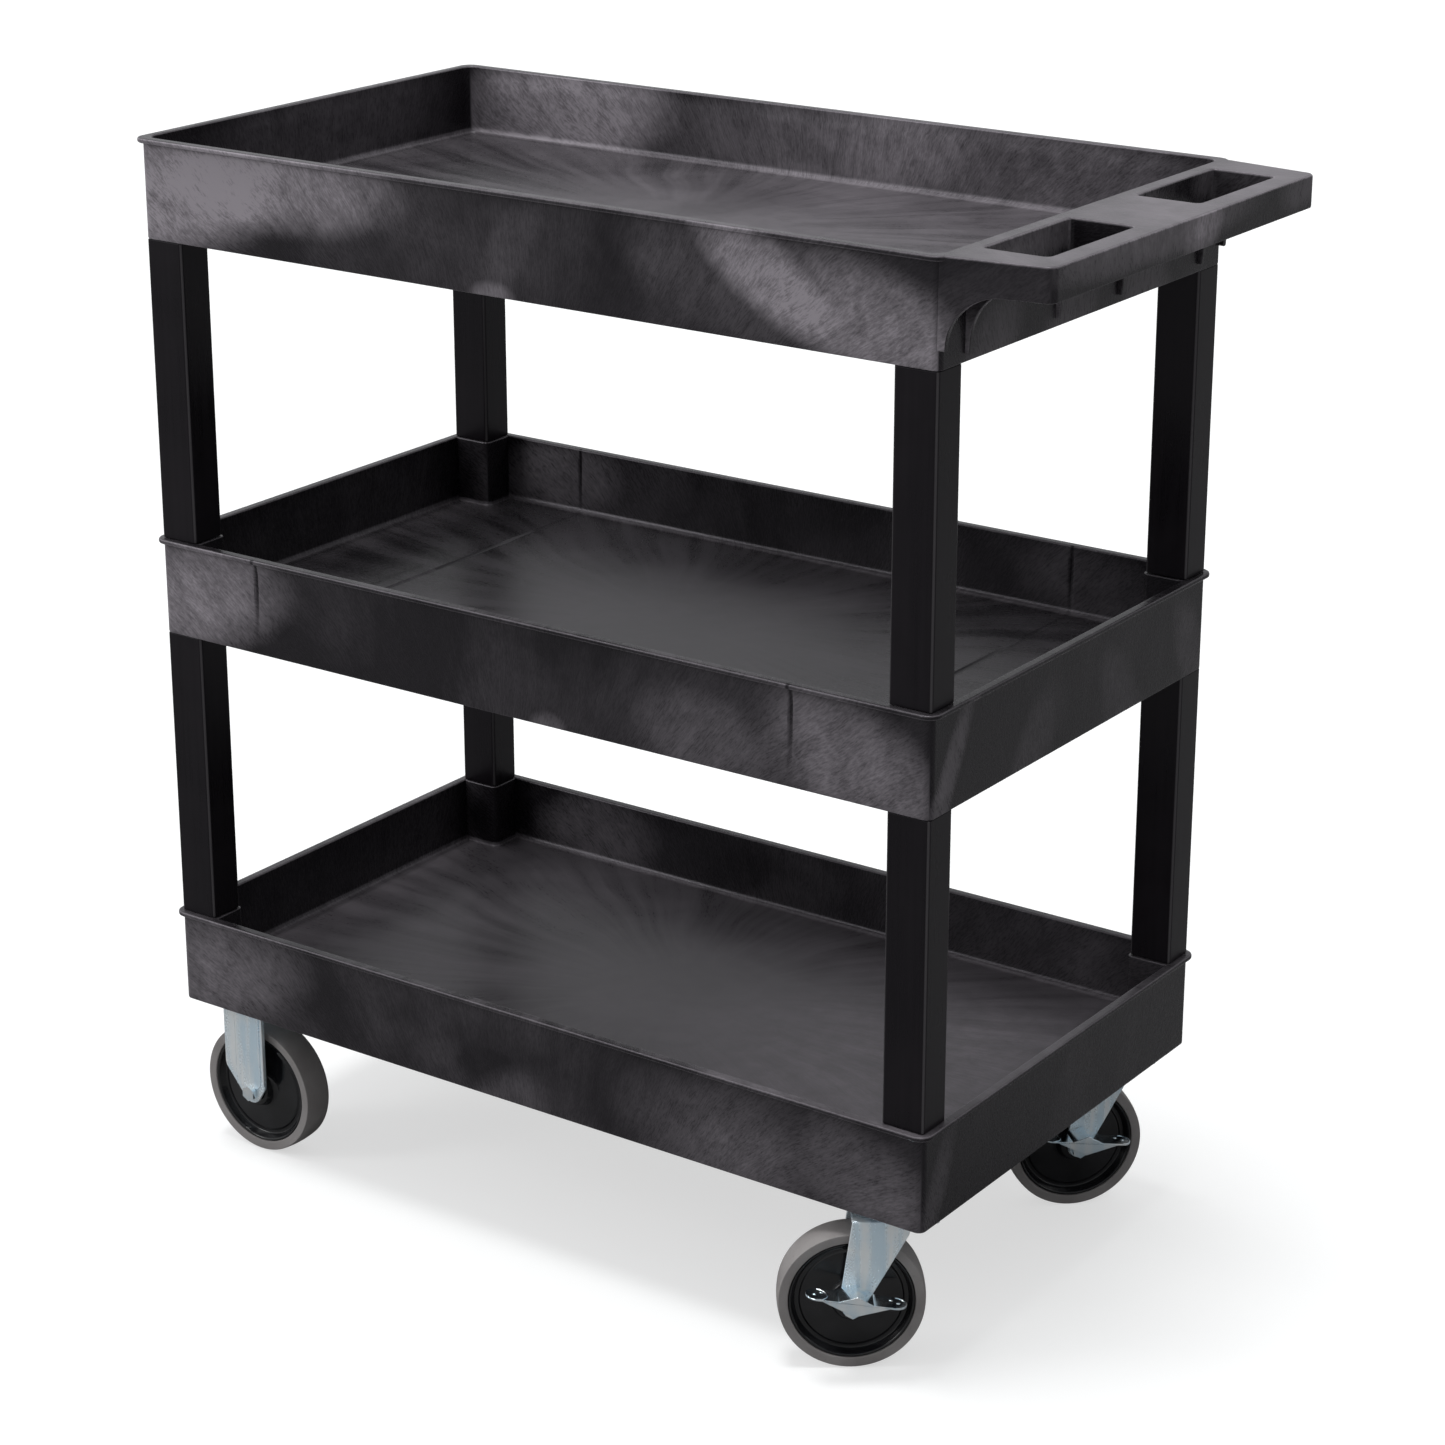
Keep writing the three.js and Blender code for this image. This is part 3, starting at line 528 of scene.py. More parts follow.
def shrink(points, distance):
    """The outline moved inwards; a negative distance moves it outwards."""
    sign = area_sign(points)
    moved = []
    for index, point in enumerate(points):
        before = Vector(point) - Vector(points[index - 1])
        after = Vector(points[(index + 1) % len(points)]) - Vector(point)
        before.normalize()
        after.normalize()
        normal = Vector((-(before.y + after.y), before.x + after.x))
        normal.normalize()
        spread = max(0.35, normal.dot(Vector((-before.y, before.x))))
        moved.append(tuple(Vector(point) + normal * (sign * distance / spread)))
    return moved


def rounded_edge(z0, z1, radius, steps):
    """(inset, z) pairs down an outer face whose two edges are rounded."""
    top = []
    for step in range(steps + 1):
        angle = radians(90 * step / steps)
        top.append((radius * (1 - sin(angle)), z1 - radius * (1 - cos(angle))))
    bottom = [(inset, z0 + z1 - z) for inset, z in reversed(top)]
    return top + bottom


# ---- solids -----------------------------------------------------------------
class Shape:
    """Collects closed solids, in millimetres, into one mesh."""

    def __init__(self):
        self.mesh = bmesh.new()
        self.place = Matrix.Identity(4)

    def vertex(self, x, y, z):
        return self.mesh.verts.new(self.place @ Vector((x, y, z)) * MM)

    def skin(self, rings):
        """Walls between rings of vertices that close on themselves."""
        for ring, following in zip(rings, rings[1:]):
            count = len(ring)
            for i in range(count):
                j = (i + 1) % count
                self.mesh.faces.new((ring[i], ring[j], following[j], following[i]))

    def fill(self, loops):
        """A flat face inside the first loop and outside the others."""
        edges = []
        for loop in loops:
            for i, vertex in enumerate(loop):
                edges.append(self.mesh.edges.get((vertex, loop[i - 1])))
        if len(loops) == 1:
            self.mesh.faces.new(loops[0])
        else:
            bmesh.ops.triangle_fill(self.mesh, edges=edges, use_beauty=True, use_dissolve=False)

    def slab(self, outline, z0, z1, edge, holes=(), steps=3):
        """An outline pulled from z0 to z1 with rounded edges, and holes through it."""
        profile = rounded_edge(z0, z1, edge, steps)
        walls = []
        for points, sign in [(outline, 1)] + [(hole, -1) for hole in holes]:
            rings = []
            for inset, z in profile:
                moved = shrink(points, sign * inset)
                rings.append([self.vertex(px, py, z) for px, py in moved])
            self.skin(rings)
            walls.append(rings)
        self.fill([rings[0] for rings in walls])
        self.fill([rings[-1] for rings in walls])

    def box(self, x0, x1, y0, y1, z0, z1, edge=0.8, corner=1.2):
        outline = rounded_rect(x1 - x0, y1 - y0, corner, (x0 + x1) / 2, (y0 + y1) / 2, steps=2)
        self.slab(outline, z0, z1, edge, steps=2)

    def lathe(self, profile, segments):
        """A closed (radius, height) profile turned about Z."""
        loops = []
        for radius, z in profile:
            if radius < 1e-6:
                loops.append([self.vertex(0, 0, z)])
            else:
                loops.append([
                    self.vertex(radius * cos(2 * pi * i / segments),
                                radius * sin(2 * pi * i / segments), z)
                    for i in range(segments)
                ])
        pairs = list(zip(loops, loops[1:]))
        if len(loops[0]) > 1:
            pairs.append((loops[-1], loops[0]))
        for a, b in pairs:
            for i in range(segments):
                j = (i + 1) % segments
                if len(a) == 1:
                    self.mesh.faces.new((a[0], b[j], b[i]))
                elif len(b) == 1:
                    self.mesh.faces.new((a[i], a[j], b[0]))
                else:
                    self.mesh.faces.new((a[i], a[j], b[j], b[i]))

    def finish(self, name, material, body, node):
        """Makes the object, which rides on a body and replaces one CAD node."""
        bmesh.ops.recalc_face_normals(self.mesh, faces=self.mesh.faces)
        data = bpy.data.meshes.new(name)
        self.mesh.to_mesh(data)
        self.mesh.free()
        data.polygons.foreach_set("use_smooth", [True] * len(data.polygons))
        data.set_sharp_from_angle(angle=radians(40))
        data.materials.append(material)
        piece = bpy.data.objects.new(name, data)
        bpy.context.collection.objects.link(piece)
        weighted = piece.modifiers.new("weighted_normals", "WEIGHTED_NORMAL")
        weighted.keep_sharp = True
        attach(piece, body)
        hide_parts(node)


UPRIGHT = Matrix.Rotation(pi / 2, 4, "X")  # an outline drawn in X and Y stands in X and Z


# ---- tubs -------------------------------------------------------------------
def side_samples():
    """Where a long side has points: every 40 mm, and close together at the grooves."""
    samples = set(range(-380, 381, 40))
    steps = (0, 1.2, 2.1, GROOVE_HALF_WIDTH, 4)
    for positions in GROOVES.values():
        for groove in positions:
            samples.update(groove + sign * step for sign in (-1, 1) for step in steps)
    return sorted(samples)


SIDE_SAMPLES = side_samples()


def groove_depth(x, side):
    """1 in the middle of a groove, falling to 0 at its edges."""
    nearest = min(abs(x - groove) for groove in GROOVES[side])
    return max(0.0, 1 - (nearest / GROOVE_HALF_WIDTH) ** 2)


def tub_ring(inset, radius):
    """The tub's outline moved in by inset. The ring starts and ends on the left end,
    and its second half mirrors its first."""
    reach_x = HALF_LENGTH - inset - radius
    reach_y = HALF_WIDTH - inset - radius
    edge_y = HALF_WIDTH - inset
    front = arc(-reach_x, -reach_y, radius, 180, 270, 6)
    front += [(x, -edge_y) for x in SIDE_SAMPLES if abs(x) < reach_x - 1]
    front += arc(reach_x, -reach_y, radius, 270, 360, 6)
    return front + [(x, -y) for x, y in reversed(front)]


def tub_profile(grooved):
    """(inset, height from the rim, corner radius, groove strength) from the tray
    floor up the inside, over the rim, down the outside and under the floor."""
    fillet = 7
    profile = []
    for step in range(5):
        angle = radians(90 * step / 4)
        profile.append((WALL + fillet * (1 - sin(angle)), -TRAY_DEPTH + fillet * (1 - cos(angle)),
                        4 + fillet * sin(angle), 0))
    for z, strength in ((-48, 0.15), (-34, 0.5), (-20, 0.9), (-11.2, 1)):
        profile.append((WALL, z, 11, strength if grooved else 0))
    profile += [
        (WALL - 0.9, -10, 11.9, 0), (WALL - 0.9, -1.6, 11.9, 0), (WALL - 1.3, -0.65, 12.3, 0),
        (WALL - 2.2, -0.1, 13.2, 0), (WALL - 2.8, RIM_TOP, 13.8, 0), (-3.0, RIM_TOP, 10, 0),
        (-4.0, -0.25, 11, 0), (-4.7, -0.8, 11.7, 0), (-5, -1.7, 12, 0), (-5, -3.2, 12, 0),
        (-4.6, -4.1, 11.6, 0), (-3.8, -4.6, 10.8, 0), (-1.0, -4.8, 8.0, 0),
        (-0.3, -5.2, 7.3, 0), (0, -6.2, 7, 0),
    ]
    for z, strength in ((-16, 1), (-30, 0.9), (-44, 0.7), (-58, 0.4), (-72, 0.12), (-80, 0)):
        profile.append((0, z, 7, strength if grooved else 0))
    profile += [
        (0, -TUB_DEPTH + 1.2, 7, 0), (0.4, -TUB_DEPTH + 0.35, 6.6, 0), (1.2, -TUB_DEPTH, 6, 0),
        (WALL - 1.2, -TUB_DEPTH, 5, 0), (WALL - 0.3, -TUB_DEPTH + 0.4, 5, 0),
        (WALL, -TUB_DEPTH + 1.2, 5, 0), (WALL, UNDERSIDE - 3, 5, 0),
        (WALL + 0.9, UNDERSIDE - 0.9, 4, 0), (WALL + 3, UNDERSIDE, 3, 0),
    ]
    return profile


def tub_floor(shape, ring, dip):
    """Quads across the tray between the mirrored points of its outline."""
    across = 10
    columns = []
    for near, far in zip(ring[:len(ring) // 2], reversed(ring)):
        column = [near]
        for step in range(1, across):
            point = near.co.lerp(far.co, step / across)
            point.z -= dip(point.x / MM, point.y / MM) * MM
            column.append(shape.mesh.verts.new(point))
        column.append(far)
        columns.append(column)
    for left, right in zip(columns, columns[1:]):
        for step in range(across):
            shape.mesh.faces.new((left[step], right[step], right[step + 1], left[step + 1]))


def tub_shell(shape, grooved):
    """Walls, rim, skirt and floor of a tub, with the grooves pressed into it."""
    rings = []
    for inset, z, radius, groove in tub_profile(grooved):
        ring = []
        for x, y in tub_ring(inset, radius):
            side = "front" if y < 0 else "rear"
            on_long_side = abs(y) > HALF_WIDTH - inset - 0.01
            dent = groove_depth(x, side) * groove * GROOVE_DEPTH if on_long_side else 0
            outer_face = inset < 1
            inwards = dent if outer_face else -dent
            ring.append(shape.vertex(x, y - inwards * (1 if y > 0 else -1), z))
        rings.append(ring)
    shape.skin(rings)

    def dip(x, y):
        half_run = 175
        reach = max(0.0, 1 - (abs(y - CENTRE_Y) / half_run) ** 4)
        return groove_depth(x - CENTRE_X, "rear") * GROOVE_DEPTH * reach if grooved else 0

    tub_floor(shape, rings[0], dip)
    tub_floor(shape, rings[-1], lambda x, y: 0)


def inside_wall(x, y):
    """The nearest point to (x, y) that is not beyond the middle of the walls."""
    reach_x = HALF_LENGTH - WALL / 2
    reach_y = HALF_WIDTH - WALL / 2
    return max(-reach_x, min(reach_x, x)), max(-reach_y, min(reach_y, y))


def corner_box(shape, end, side, z0, z1, corner, edge, foot=0.0):
    """A leg's post or socket in a corner of a tub; a post's foot flares onto the tray."""
    x = end * (HALF_LENGTH - POST_X / 2 - 1)
    y = side * (HALF_WIDTH - POST_Y / 2 - 1)
    outline = rounded_rect(POST_X - 2, POST_Y - 2, corner, x, y, 5)
    shape.slab(outline, z0, z1, edge)
    if foot:
        rings = []
        for step in range(4):
            angle = radians(90 * step / 3)
            grown = shrink(outline, -foot * (1 - sin(angle)))
            height = z0 + 1 + foot * (1 - cos(angle))
            rings.append([shape.vertex(*inside_wall(px, py), height) for px, py in grown])
        base = [shape.vertex(*inside_wall(px, py), z0) for px, py in shrink(outline, -foot)]
        rings.insert(0, base)
        shape.skin(rings)
        shape.fill([rings[0]])
        shape.fill([rings[-1]])


def floor_ribs(shape):
    """Two long ribs and five cross ribs under a floor."""
    half = 1.5
    reach_x, reach_y = HALF_LENGTH - 3, HALF_WIDTH - 3
    z0, z1 = UNDERSIDE - 6, UNDERSIDE + 1
    for y in (-75, 75):
        shape.box(-reach_x, reach_x, y - half, y + half, z0, z1)
    for x in (-270, -135, 0, 135, 270):
        shape.box(x - half, x + half, -reach_y, reach_y, z0, z1)


def caster_pads(shape):
    """Pads under the bottom floor that take the casters' plates."""
    for name, end, _ in CORNERS:
        plate = "swivel_plate" if end > 0 else "fork"
        low, high = (Vector(corner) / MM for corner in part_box(f"{plate}_{name}"))
        margin = 6
        x0 = max(low.x - CENTRE_X - margin, -HALF_LENGTH + 3)
        x1 = min(high.x - CENTRE_X + margin, HALF_LENGTH - 3)
        y0 = max(low.y - CENTRE_Y - margin, -HALF_WIDTH + 3)
        y1 = min(high.y - CENTRE_Y + margin, HALF_WIDTH - 3)
        z0 = high.z - RIM_Z["bottom"] + 0.3
        shape.box(x0, x1, y0, y1, z0, UNDERSIDE + 1, edge=1.0, corner=2)


def handle_outline(inset, radius):
    """The handle's outer edge from above, moved in by inset. Its slanted sides have
    extra points, so that the wall's lower edge can follow the cheeks' quarter circle."""
    end = HANDLE_END - inset
    half = HALF_WIDTH - HANDLE_NARROWING - inset
    near_end = arc(end - radius, -half + radius, radius, -83, 0, 7)
    root = HALF_LENGTH + 0.5
    near = [(HALF_LENGTH - 2, -HALF_WIDTH + inset), (root, -HALF_WIDTH + inset)]
    slope = (near_end[0][1] + HALF_WIDTH - inset) / (near_end[0][0] - root)
    for step in range(15):
        x = HALF_LENGTH + 4 + GUSSET_RADIUS * (1 - cos(radians(90 * step / 14)))
        near.append((x, -HALF_WIDTH + inset + slope * (x - root)))
    points = near + near_end
    return points + [(x, -y) for x, y in reversed(points)]


def cheek_edge(x):
    """The height at x of the lower edge of the handle's side wall, from the rim."""
    arc_x = HALF_LENGTH + 4 + GUSSET_RADIUS
    if x >= arc_x:
        return -HANDLE_DEPTH
    across = min(arc_x - x, GUSSET_RADIUS)
    drop = GUSSET_RADIUS - (GUSSET_RADIUS ** 2 - across ** 2) ** 0.5
    return -HANDLE_DEPTH - drop


def handle(shape):
    """The push handle: a skinned tray turned over, with two hand holes."""
    hole_x1 = HANDLE_END - GRIP_WIDTH
    hole_x0 = hole_x1 - HAND_HOLE_X
    hole_y = (HAND_HOLE_INNER_Y + HAND_HOLE_OUTER_Y) / 2
    size_y = HAND_HOLE_OUTER_Y - HAND_HOLE_INNER_Y
    round_over = 2.2
    profile = []
    for step in range(5):
        angle = radians(90 * step / 4)
        profile.append((round_over * (1 - sin(angle)), "top", -round_over * (1 - cos(angle))))
    profile += [
        (0, "foot", 1.4), (0.4, "foot", 0.4), (1.4, "foot", 0), (HANDLE_SKIN - 1, "foot", 0),
        (HANDLE_SKIN, "foot", 1), (HANDLE_SKIN, "top", -HANDLE_SKIN),
    ]
    outer = []
    for inset, datum, dz in profile:
        ring = []
        for x, y in handle_outline(inset, max(9 - inset, 3)):
            base = cheek_edge(x) if datum == "foot" else 0
            ring.append(shape.vertex(x, y, base + dz))
        outer.append(ring)
    walls = [outer]
    for side in (-1, 1):
        rings = []
        for inset, datum, dz in profile:
            base = -HANDLE_DEPTH if datum == "foot" else 0
            grown = rounded_rect(HAND_HOLE_X + 2 * inset, size_y + 2 * inset, 5 + inset,
                                 (hole_x0 + hole_x1) / 2, side * hole_y, 6)
            rings.append([shape.vertex(x, y, base + dz) for x, y in grown])
        walls.append(rings)
    for rings in walls:
        shape.skin(rings)
    shape.fill([rings[0] for rings in walls])
    shape.fill([rings[-1] for rings in walls])


def gusset_outline():
    """A web seen from the side: a quarter circle between the end wall and the handle."""
    wall_x = HALF_LENGTH - 2
    arc_x = HALF_LENGTH + GUSSET_RADIUS + 4
    arc_z = -HANDLE_DEPTH - GUSSET_RADIUS
    curve = arc(arc_x, arc_z, GUSSET_RADIUS, 180, 90, 18)
    foot = [(wall_x, -4), (wall_x, arc_z - 9), (HALF_LENGTH + 3, arc_z - 9)]
    return foot + curve + [(arc_x, -4)]


def gussets(shape):
    """Curved webs under the handle, one on each side of each hand hole."""
    home = shape.place.copy()
    for side in (-1, 1):
        for y in (HAND_HOLE_INNER_Y - HANDLE_SKIN, HAND_HOLE_OUTER_Y):
            middle_y = side * (y + HANDLE_SKIN / 2)
            shape.place = home @ Matrix.Translation((0, middle_y, 0)) @ UPRIGHT
            shape.slab(gusset_outline(), -HANDLE_SKIN / 2 + 0.1, HANDLE_SKIN / 2 - 0.1, 1.0)
    shape.place = home


def make_tub(name, posts, sockets, pads, has_handle):
    shape = Shape()
    shape.place = Matrix.Translation((CENTRE_X, CENTRE_Y, RIM_Z[name]))
    tub_shell(shape, grooved=name == "middle")
    floor_ribs(shape)
    for _, end, side in CORNERS:
        if posts:
            corner_box(shape, end, side, -TRAY_DEPTH - 1, -0.2, 5.5, 1.2, foot=4.0)
        if sockets:
            corner_box(shape, end, side, -TUB_DEPTH + 0.1, UNDERSIDE + 1, 4, 1.0)
    if pads:
        caster_pads(shape)
    if has_handle:
        handle(shape)
        gussets(shape)
    shape.finish(f"{name}_tub_moulding", TUB_MATERIALS[name], "cart", f"{name}_tub")


make_tub("top", posts=False, sockets=True, pads=False, has_handle=True)
make_tub("middle", posts=True, sockets=True, pads=False, has_handle=False)
make_tub("bottom", posts=True, sockets=False, pads=True, has_handle=False)


# ---- legs -------------------------------------------------------------------
def make_leg(name):
    """A tube between two tubs, with a peg that reaches beyond both its ends."""
    low, high = (Vector(corner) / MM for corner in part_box(name))
    peg_below, peg_above = 24, 18
    shape = Shape()
    shape.place = Matrix.Translation(((low.x + high.x) / 2, (low.y + high.y) / 2, 0))
    shape.slab(rounded_rect(LEG_X, LEG_Y, 3.2), low.z + peg_below, high.z - peg_above, 0.8)
    shape.slab(rounded_rect(28, 23, 2), low.z, high.z, 0.8)
    shape.finish(f"{name}_tube", LEG_MATERIAL, "cart", name)


for tier in ("lower", "upper"):
    for corner, _, _ in CORNERS:
        make_leg(f"{tier}_leg_{corner}")


# ---- wheels -----------------------------------------------------------------
def mirrored(side):
    """A closed profile from its half at positive height."""
    return side + [(radius, -z) for radius, z in reversed(side)]


def tyre_profile():
    half = TYRE_WIDTH / 2
    inner = HUB_RADIUS + 0.2
    return mirrored([
        (inner, half - 2.2), (inner + 0.4, half - 0.9), (inner + 1.2, half - 0.4),
        (WHEEL_RADIUS - 1.7, half), (WHEEL_RADIUS - 1.25, half - 0.1),
        (WHEEL_RADIUS - 0.95, half - 0.4), (WHEEL_RADIUS - 0.6, half - 3.0),
        (WHEEL_RADIUS - 0.15, half - 8.0), (WHEEL_RADIUS, half - 12.0),
    ])


def hub_profile():
    edge = TYRE_WIDTH / 2 - HUB_RECESS
    half = HUB_LENGTH / 2
    return mirrored([
        (8.9, half - 0.6), (9.6, half), (14.0, half), (15.0, half - 0.8), (16.2, 12.5),
        (18.0, 10.4), (20.5, 9.4), (42.2, 8.6), (43.2, 8.3), (43.9, 7.4), (44.8, 7.0),
        (47.0, 7.0), (48.2, 7.6), (50.4, edge - 1.2), (51.0, edge - 0.3), (51.7, edge),
        (HUB_RADIUS - 0.5, edge), (HUB_RADIUS, edge - 0.6),
    ])


def caster_frame(name, end):
    """Where a wheel's axle is, and how far its caster is turned."""
    axle = middle(f"tyre_{name}") / MM
    turn = 0.0
    if end > 0:
        pivot = middle(f"swivel_plate_{name}") / MM
        turn = atan2(pivot.y - axle.y, pivot.x - axle.x)
    return Matrix.Translation(axle) @ Matrix.Rotation(turn, 4, "Z")


def make_wheel(name, place):
    parts = (("hub", hub_profile(), HUB_MATERIAL), ("tyre", tyre_profile(), TYRE_MATERIAL))
    for kind, profile, material in parts:
        shape = Shape()
        shape.place = place @ UPRIGHT
        shape.lathe(profile, 96)
        shape.finish(f"{kind}_{name}_moulding", material, f"wheel_{name}", f"{kind}_{name}")


# ---- forks ------------------------------------------------------------------
def fork_leg(shape, outline, side):
    """One bent side plate of a fork, standing beside the wheel."""
    home = shape.place.copy()
    y = side * (FORK_INSIDE + SHEET / 2)
    shape.place = home @ Matrix.Translation((0, y, 0)) @ UPRIGHT
    shape.slab(outline, -SHEET / 2, SHEET / 2, 0.7, holes=[circle(0, 0, AXLE_HOLE_RADIUS)])
    shape.place = home


def rigid_leg_points():
    top = FORK_PLATE_Z + 2
    boss = arc(0, 0, 11, 205, 330, 14)
    knee = [(-31, top), (-31, 23), (-30.4, 20.5), (-29.2, 18.6)]
    return knee + boss + [(15.6, 4.6), (16.6, 7), (17, 9.5), (17, top)]


def swivel_leg_points():
    top = CROWN_Z + 2.6
    boss = arc(0, 0, 9.5, 195, 340, 14)
    left = [(-1, top), (-9.6, 15), (-10.2, 10)]
    right = [(15.2, 8), (16.6, 11.2), (26, 28.5), (40, 54.5), (46, 66), (47, 70), (47, top)]
    return left + boss + right


def make_rigid_fork(name, place):
    """Two side plates under a mounting plate with four screw holes."""
    shape = Shape()
    shape.place = place
    top = FORK_PLATE_Z + 1
    panel = [(-17, 4.5), (-17, top), (12.6, top), (12.6, 9), (7.5, 4.5)]
    for side in (-1, 1):
        fork_leg(shape, rigid_leg_points(), side)
        # The right edge is folded out, a long panel is pressed proud beside it,
        # and the strip left of the panel is bent back.
        face = side * (FORK_INSIDE + SHEET)
        edges = sorted((face - side * 1.0, face + side * 1.3))
        shape.box(14.2, 17, *edges, 10, top, 0.5, 0.6)
        shape.place = place @ Matrix.Translation((0, face, 0)) @ UPRIGHT
        shape.slab(panel, -PANEL_RISE, PANEL_RISE, 0.45)
        shape.place = place
        strip = [(-30.8, face - side * 0.4), (-30.8, face + side * 0.05),
                 (-17, face + side * PANEL_RISE), (-17, face - side * 0.4)]
        shape.slab(strip, 24, top, 0.02)
    holes = [circle(dx, dy, 3.4, 16) for dx in (-40, 40) for dy in (-24, 24)]
    shape.slab(rounded_rect(95, 62, 6), FORK_PLATE_Z, FORK_PLATE_Z + SHEET, 0.6, holes)
    shape.finish(f"fork_{name}_pressing", ZINC, "cart", f"fork_{name}")


def make_swivel_fork(name, place):
    """Two side plates under a crown that carries the lower race."""
    bore = 7
    shape = Shape()
    shape.place = place
    for side in (-1, 1):
        fork_leg(shape, swivel_leg_points(), side)
    crown = rounded_rect(73, 2 * (FORK_INSIDE + SHEET) - 1, 4, 35, 0)
    shape.slab(crown, CROWN_Z, CROWN_Z + SHEET, 1.2, holes=[circle(SWIVEL_TRAIL, 0, bore)])
    shape.place = place @ Matrix.Translation((SWIVEL_TRAIL, 0, CROWN_Z + SHEET - 1))
    race = [(bore, 0), (27.5, 0), (28, 0.6), (28, 4.4), (27.2, 5.6), (bore, 5.6)]
    shape.lathe(race, 48)
    shape.finish(f"fork_{name}_pressing", ZINC, f"swivel_{name}", f"fork_{name}")


# ---- brake pedals -----------------------------------------------------------
def make_pedal(name, place):
    """A stamped rocker on the axle: two wings, a raised middle and a hanging lip."""
    back = -FORK_INSIDE - SHEET - 0.3
    depth = 22
    front = back - depth
    shelf = 13.5
    half_sheet = 1
    tip_x, tip_y, tip_radius = 33, back - 12.5, 9.5
    tilted = place @ Matrix.Rotation(radians(PEDAL_TILT), 4, "Y")
    shape = Shape()

    def stand(y):
        shape.place = tilted @ Matrix.Translation((0, y, 0)) @ UPRIGHT

    stand(back - half_sheet)
    tab = [(-12, shelf + 1), (-9, 2)] + arc(0, 0, 9, 180, 360, 18) + [(9, 2), (12, shelf + 1)]
    shape.slab(tab, -half_sheet, half_sheet, 0.5, holes=[circle(0, 0, AXLE_HOLE_RADIUS)])

    # The wings have round tips, each with a raised rim and two small bumps.
    shape.place = tilted
    wing = ([(-12, back), (-20, back - 3)] + arc(-tip_x, tip_y, tip_radius, 90, 270, 12)
            + [(0, front)] + arc(tip_x, tip_y, tip_radius, -90, 90, 12)
            + [(20, back - 3), (12, back)])
    shape.slab(wing, shelf, shelf + 1.6, 0.5)
    bump = [(0, 1.1), (0.9, 1.0), (1.5, 0.6), (1.8, 0), (0, 0)]
    for end in (-1, 1):
        shape.place = tilted
        outer = arc(end * tip_x, tip_y, tip_radius, -90 * end, 90 * end, 14)
        inner = arc(end * tip_x, tip_y, tip_radius - 1.6, 90 * end, -90 * end, 14)
        shape.slab(outer + inner, shelf + 1, shelf + 2.1, 0.4)
        for along, across in ((29, -9), (35, -13)):
            shape.place = tilted @ Matrix.Translation((end * along, back + across, shelf + 1.2))
            shape.lathe(bump, 20)

    stand((front + back) / 2)
    tent = round_corners([(-17, shelf + 0.5, 0), (17, shelf + 0.5, 0), (0, shelf + 7.6, 2)])
    shape.slab(tent, -depth / 2, depth / 2, 0.5)
    stand(front + half_sheet)
    lip = round_corners([(-31, shelf + 1.2, 0), (0, shelf - 11, 3), (31, shelf + 1.2, 0)])
    shape.slab(lip, -half_sheet, half_sheet, 0.5)
    shape.finish(f"brake_pedal_{name}_pressing", BRIGHT_ZINC, f"pedal_{name}",
                 f"brake_pedal_{name}")


for corner, end, _ in CORNERS:
    caster_place = caster_frame(corner, end)
    make_wheel(corner, caster_place)
    if end > 0:
        make_swivel_fork(corner, caster_place)
        make_pedal(corner, caster_place)
    else:
        make_rigid_fork(corner, caster_place)


# ---- CAD nodes that stay: better materials and softened edges ---------------
def dress(node, material, edge=0.4):
    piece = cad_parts[node]
    piece.data.materials.clear()
    piece.data.materials.append(material)
    flatten = piece.modifiers.new("flat_faces", "DECIMATE")
    flatten.decimate_type = "DISSOLVE"
    flatten.angle_limit = radians(2)
    soften = piece.modifiers.new("soft_edges", "BEVEL")
    soften.width = edge * MM
    soften.segments = 2
    soften.limit_method = "ANGLE"
    soften.angle_limit = radians(40)
    weighted = piece.modifiers.new("weighted_normals", "WEIGHTED_NORMAL")
    weighted.keep_sharp = False


for corner, end, _ in CORNERS:
    dress(f"axle_bolt_{corner}", BRIGHT_ZINC)
    dress(f"axle_nut_{corner}", ZINC)
    dress(f"axle_sleeve_{corner}", BEARING_STEEL)
    for number in (1, 2, 3, 4):
        dress(f"caster_screw_{corner}_{number}", ZINC)
    if end > 0:
        dress(f"swivel_plate_{corner}", ZINC)
        dress(f"kingpin_{corner}", ZINC)
        dress(f"ball_ring_{corner}", BEARING_STEEL, 0.2)


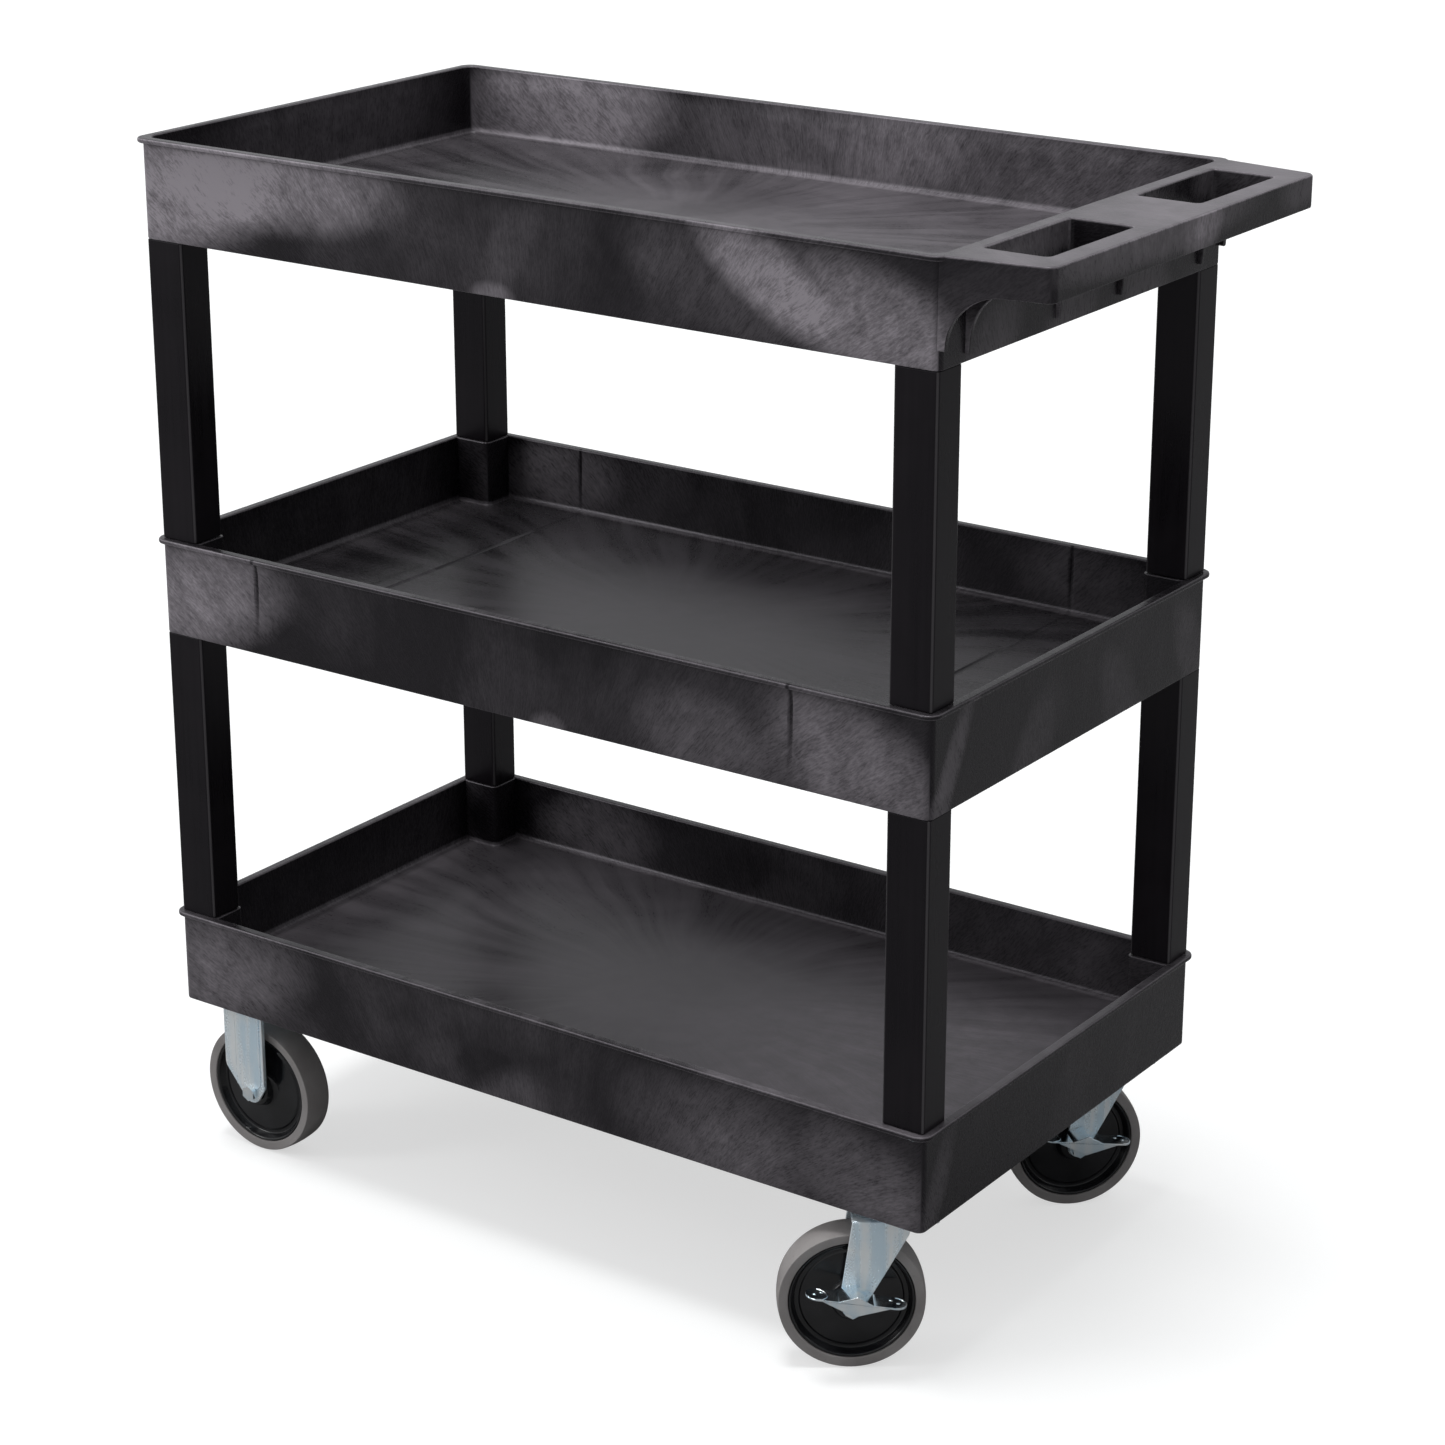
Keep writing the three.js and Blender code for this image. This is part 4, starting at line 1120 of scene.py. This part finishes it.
# ---- floor and studio light -------------------------------------------------
def make_floor():
    """A paper floor: near white to the camera, and dimmer in the cart's reflections."""
    data = bpy.data.meshes.new("floor")
    reach = 16
    corners = [(x * reach, y * reach, 0) for x, y in ((-1, -1), (1, -1), (1, 1), (-1, 1))]
    data.from_pydata(corners, [], [(0, 1, 2, 3)])
    floor = bpy.data.objects.new("floor", data)
    bpy.context.collection.objects.link(floor)
    material, nodes = new_material("studio_floor")
    seen = nodes.add("ShaderNodeLightPath").outputs["Is Camera Ray"]
    tone = nodes.mix(seen, (0.27, 0.27, 0.27, 1), (0.45, 0.455, 0.455, 1))
    paper = nodes.add("ShaderNodeBsdfDiffuse", {"Color": tone})
    glow = nodes.add("ShaderNodeEmission", {
        "Color": (1, 1, 1, 1), "Strength": nodes.math("MULTIPLY", seen, 0.6),
    })
    lit = nodes.add("ShaderNodeAddShader", {0: paper.outputs[0], 1: glow.outputs[0]})
    nodes.add("ShaderNodeOutputMaterial", {"Surface": lit.outputs[0]})
    data.materials.append(material)


def make_world():
    """A soft studio surround, brightest overhead and on the left, dim on the right;
    the camera itself sees plain white."""
    world = bpy.data.worlds.new("studio")
    bpy.context.scene.world = world
    world.use_nodes = True
    nodes = Nodes(world.node_tree)
    x, _, z = nodes.separate(nodes.add("ShaderNodeTexCoord").outputs["Generated"])
    strength = nodes.math("MULTIPLY_ADD", x, -0.3, 0.42)
    strength = nodes.math("MULTIPLY_ADD", z, 0.25, strength)
    strength = nodes.math("MAXIMUM", strength, 0.08)
    seen = nodes.add("ShaderNodeLightPath").outputs["Is Camera Ray"]
    strength = nodes.math("MAXIMUM", strength, seen)
    colour = nodes.mix(seen, (0.97, 0.985, 1.0, 1), (1, 1, 1, 1))
    shader = nodes.add("ShaderNodeBackground", {"Color": colour, "Strength": strength})
    nodes.add("ShaderNodeOutputWorld", {"Surface": shader.outputs[0]})


def overhead_sun():
    data = bpy.data.lights.new("overhead_sun", "SUN")
    data.energy = 1.9
    data.angle = radians(20)  # wide, for a soft shadow
    light = bpy.data.objects.new("overhead_sun", data)
    bpy.context.collection.objects.link(light)
    light.rotation_euler = (radians(4), radians(-4), 0)


def softbox(name, place, size, power):
    """A rectangular light that looks at the middle of the cart."""
    data = bpy.data.lights.new(name, "AREA")
    data.shape = "RECTANGLE"
    data.size, data.size_y = size
    data.energy = power
    light = bpy.data.objects.new(name, data)
    bpy.context.collection.objects.link(light)
    light.location = place
    direction = Vector((0, 0, 0.5)) - Vector(place)
    light.rotation_euler = direction.to_track_quat("-Z", "Y").to_euler()


make_floor()
make_world()
overhead_sun()
bpy.context.scene.view_settings.view_transform = "Standard"
softbox("left_front", (-3.2, -3.4, 2.6), (1.2, 2.2), 45)
softbox("right_rim", (3.4, 1.6, 2.2), (0.5, 2.0), 6)
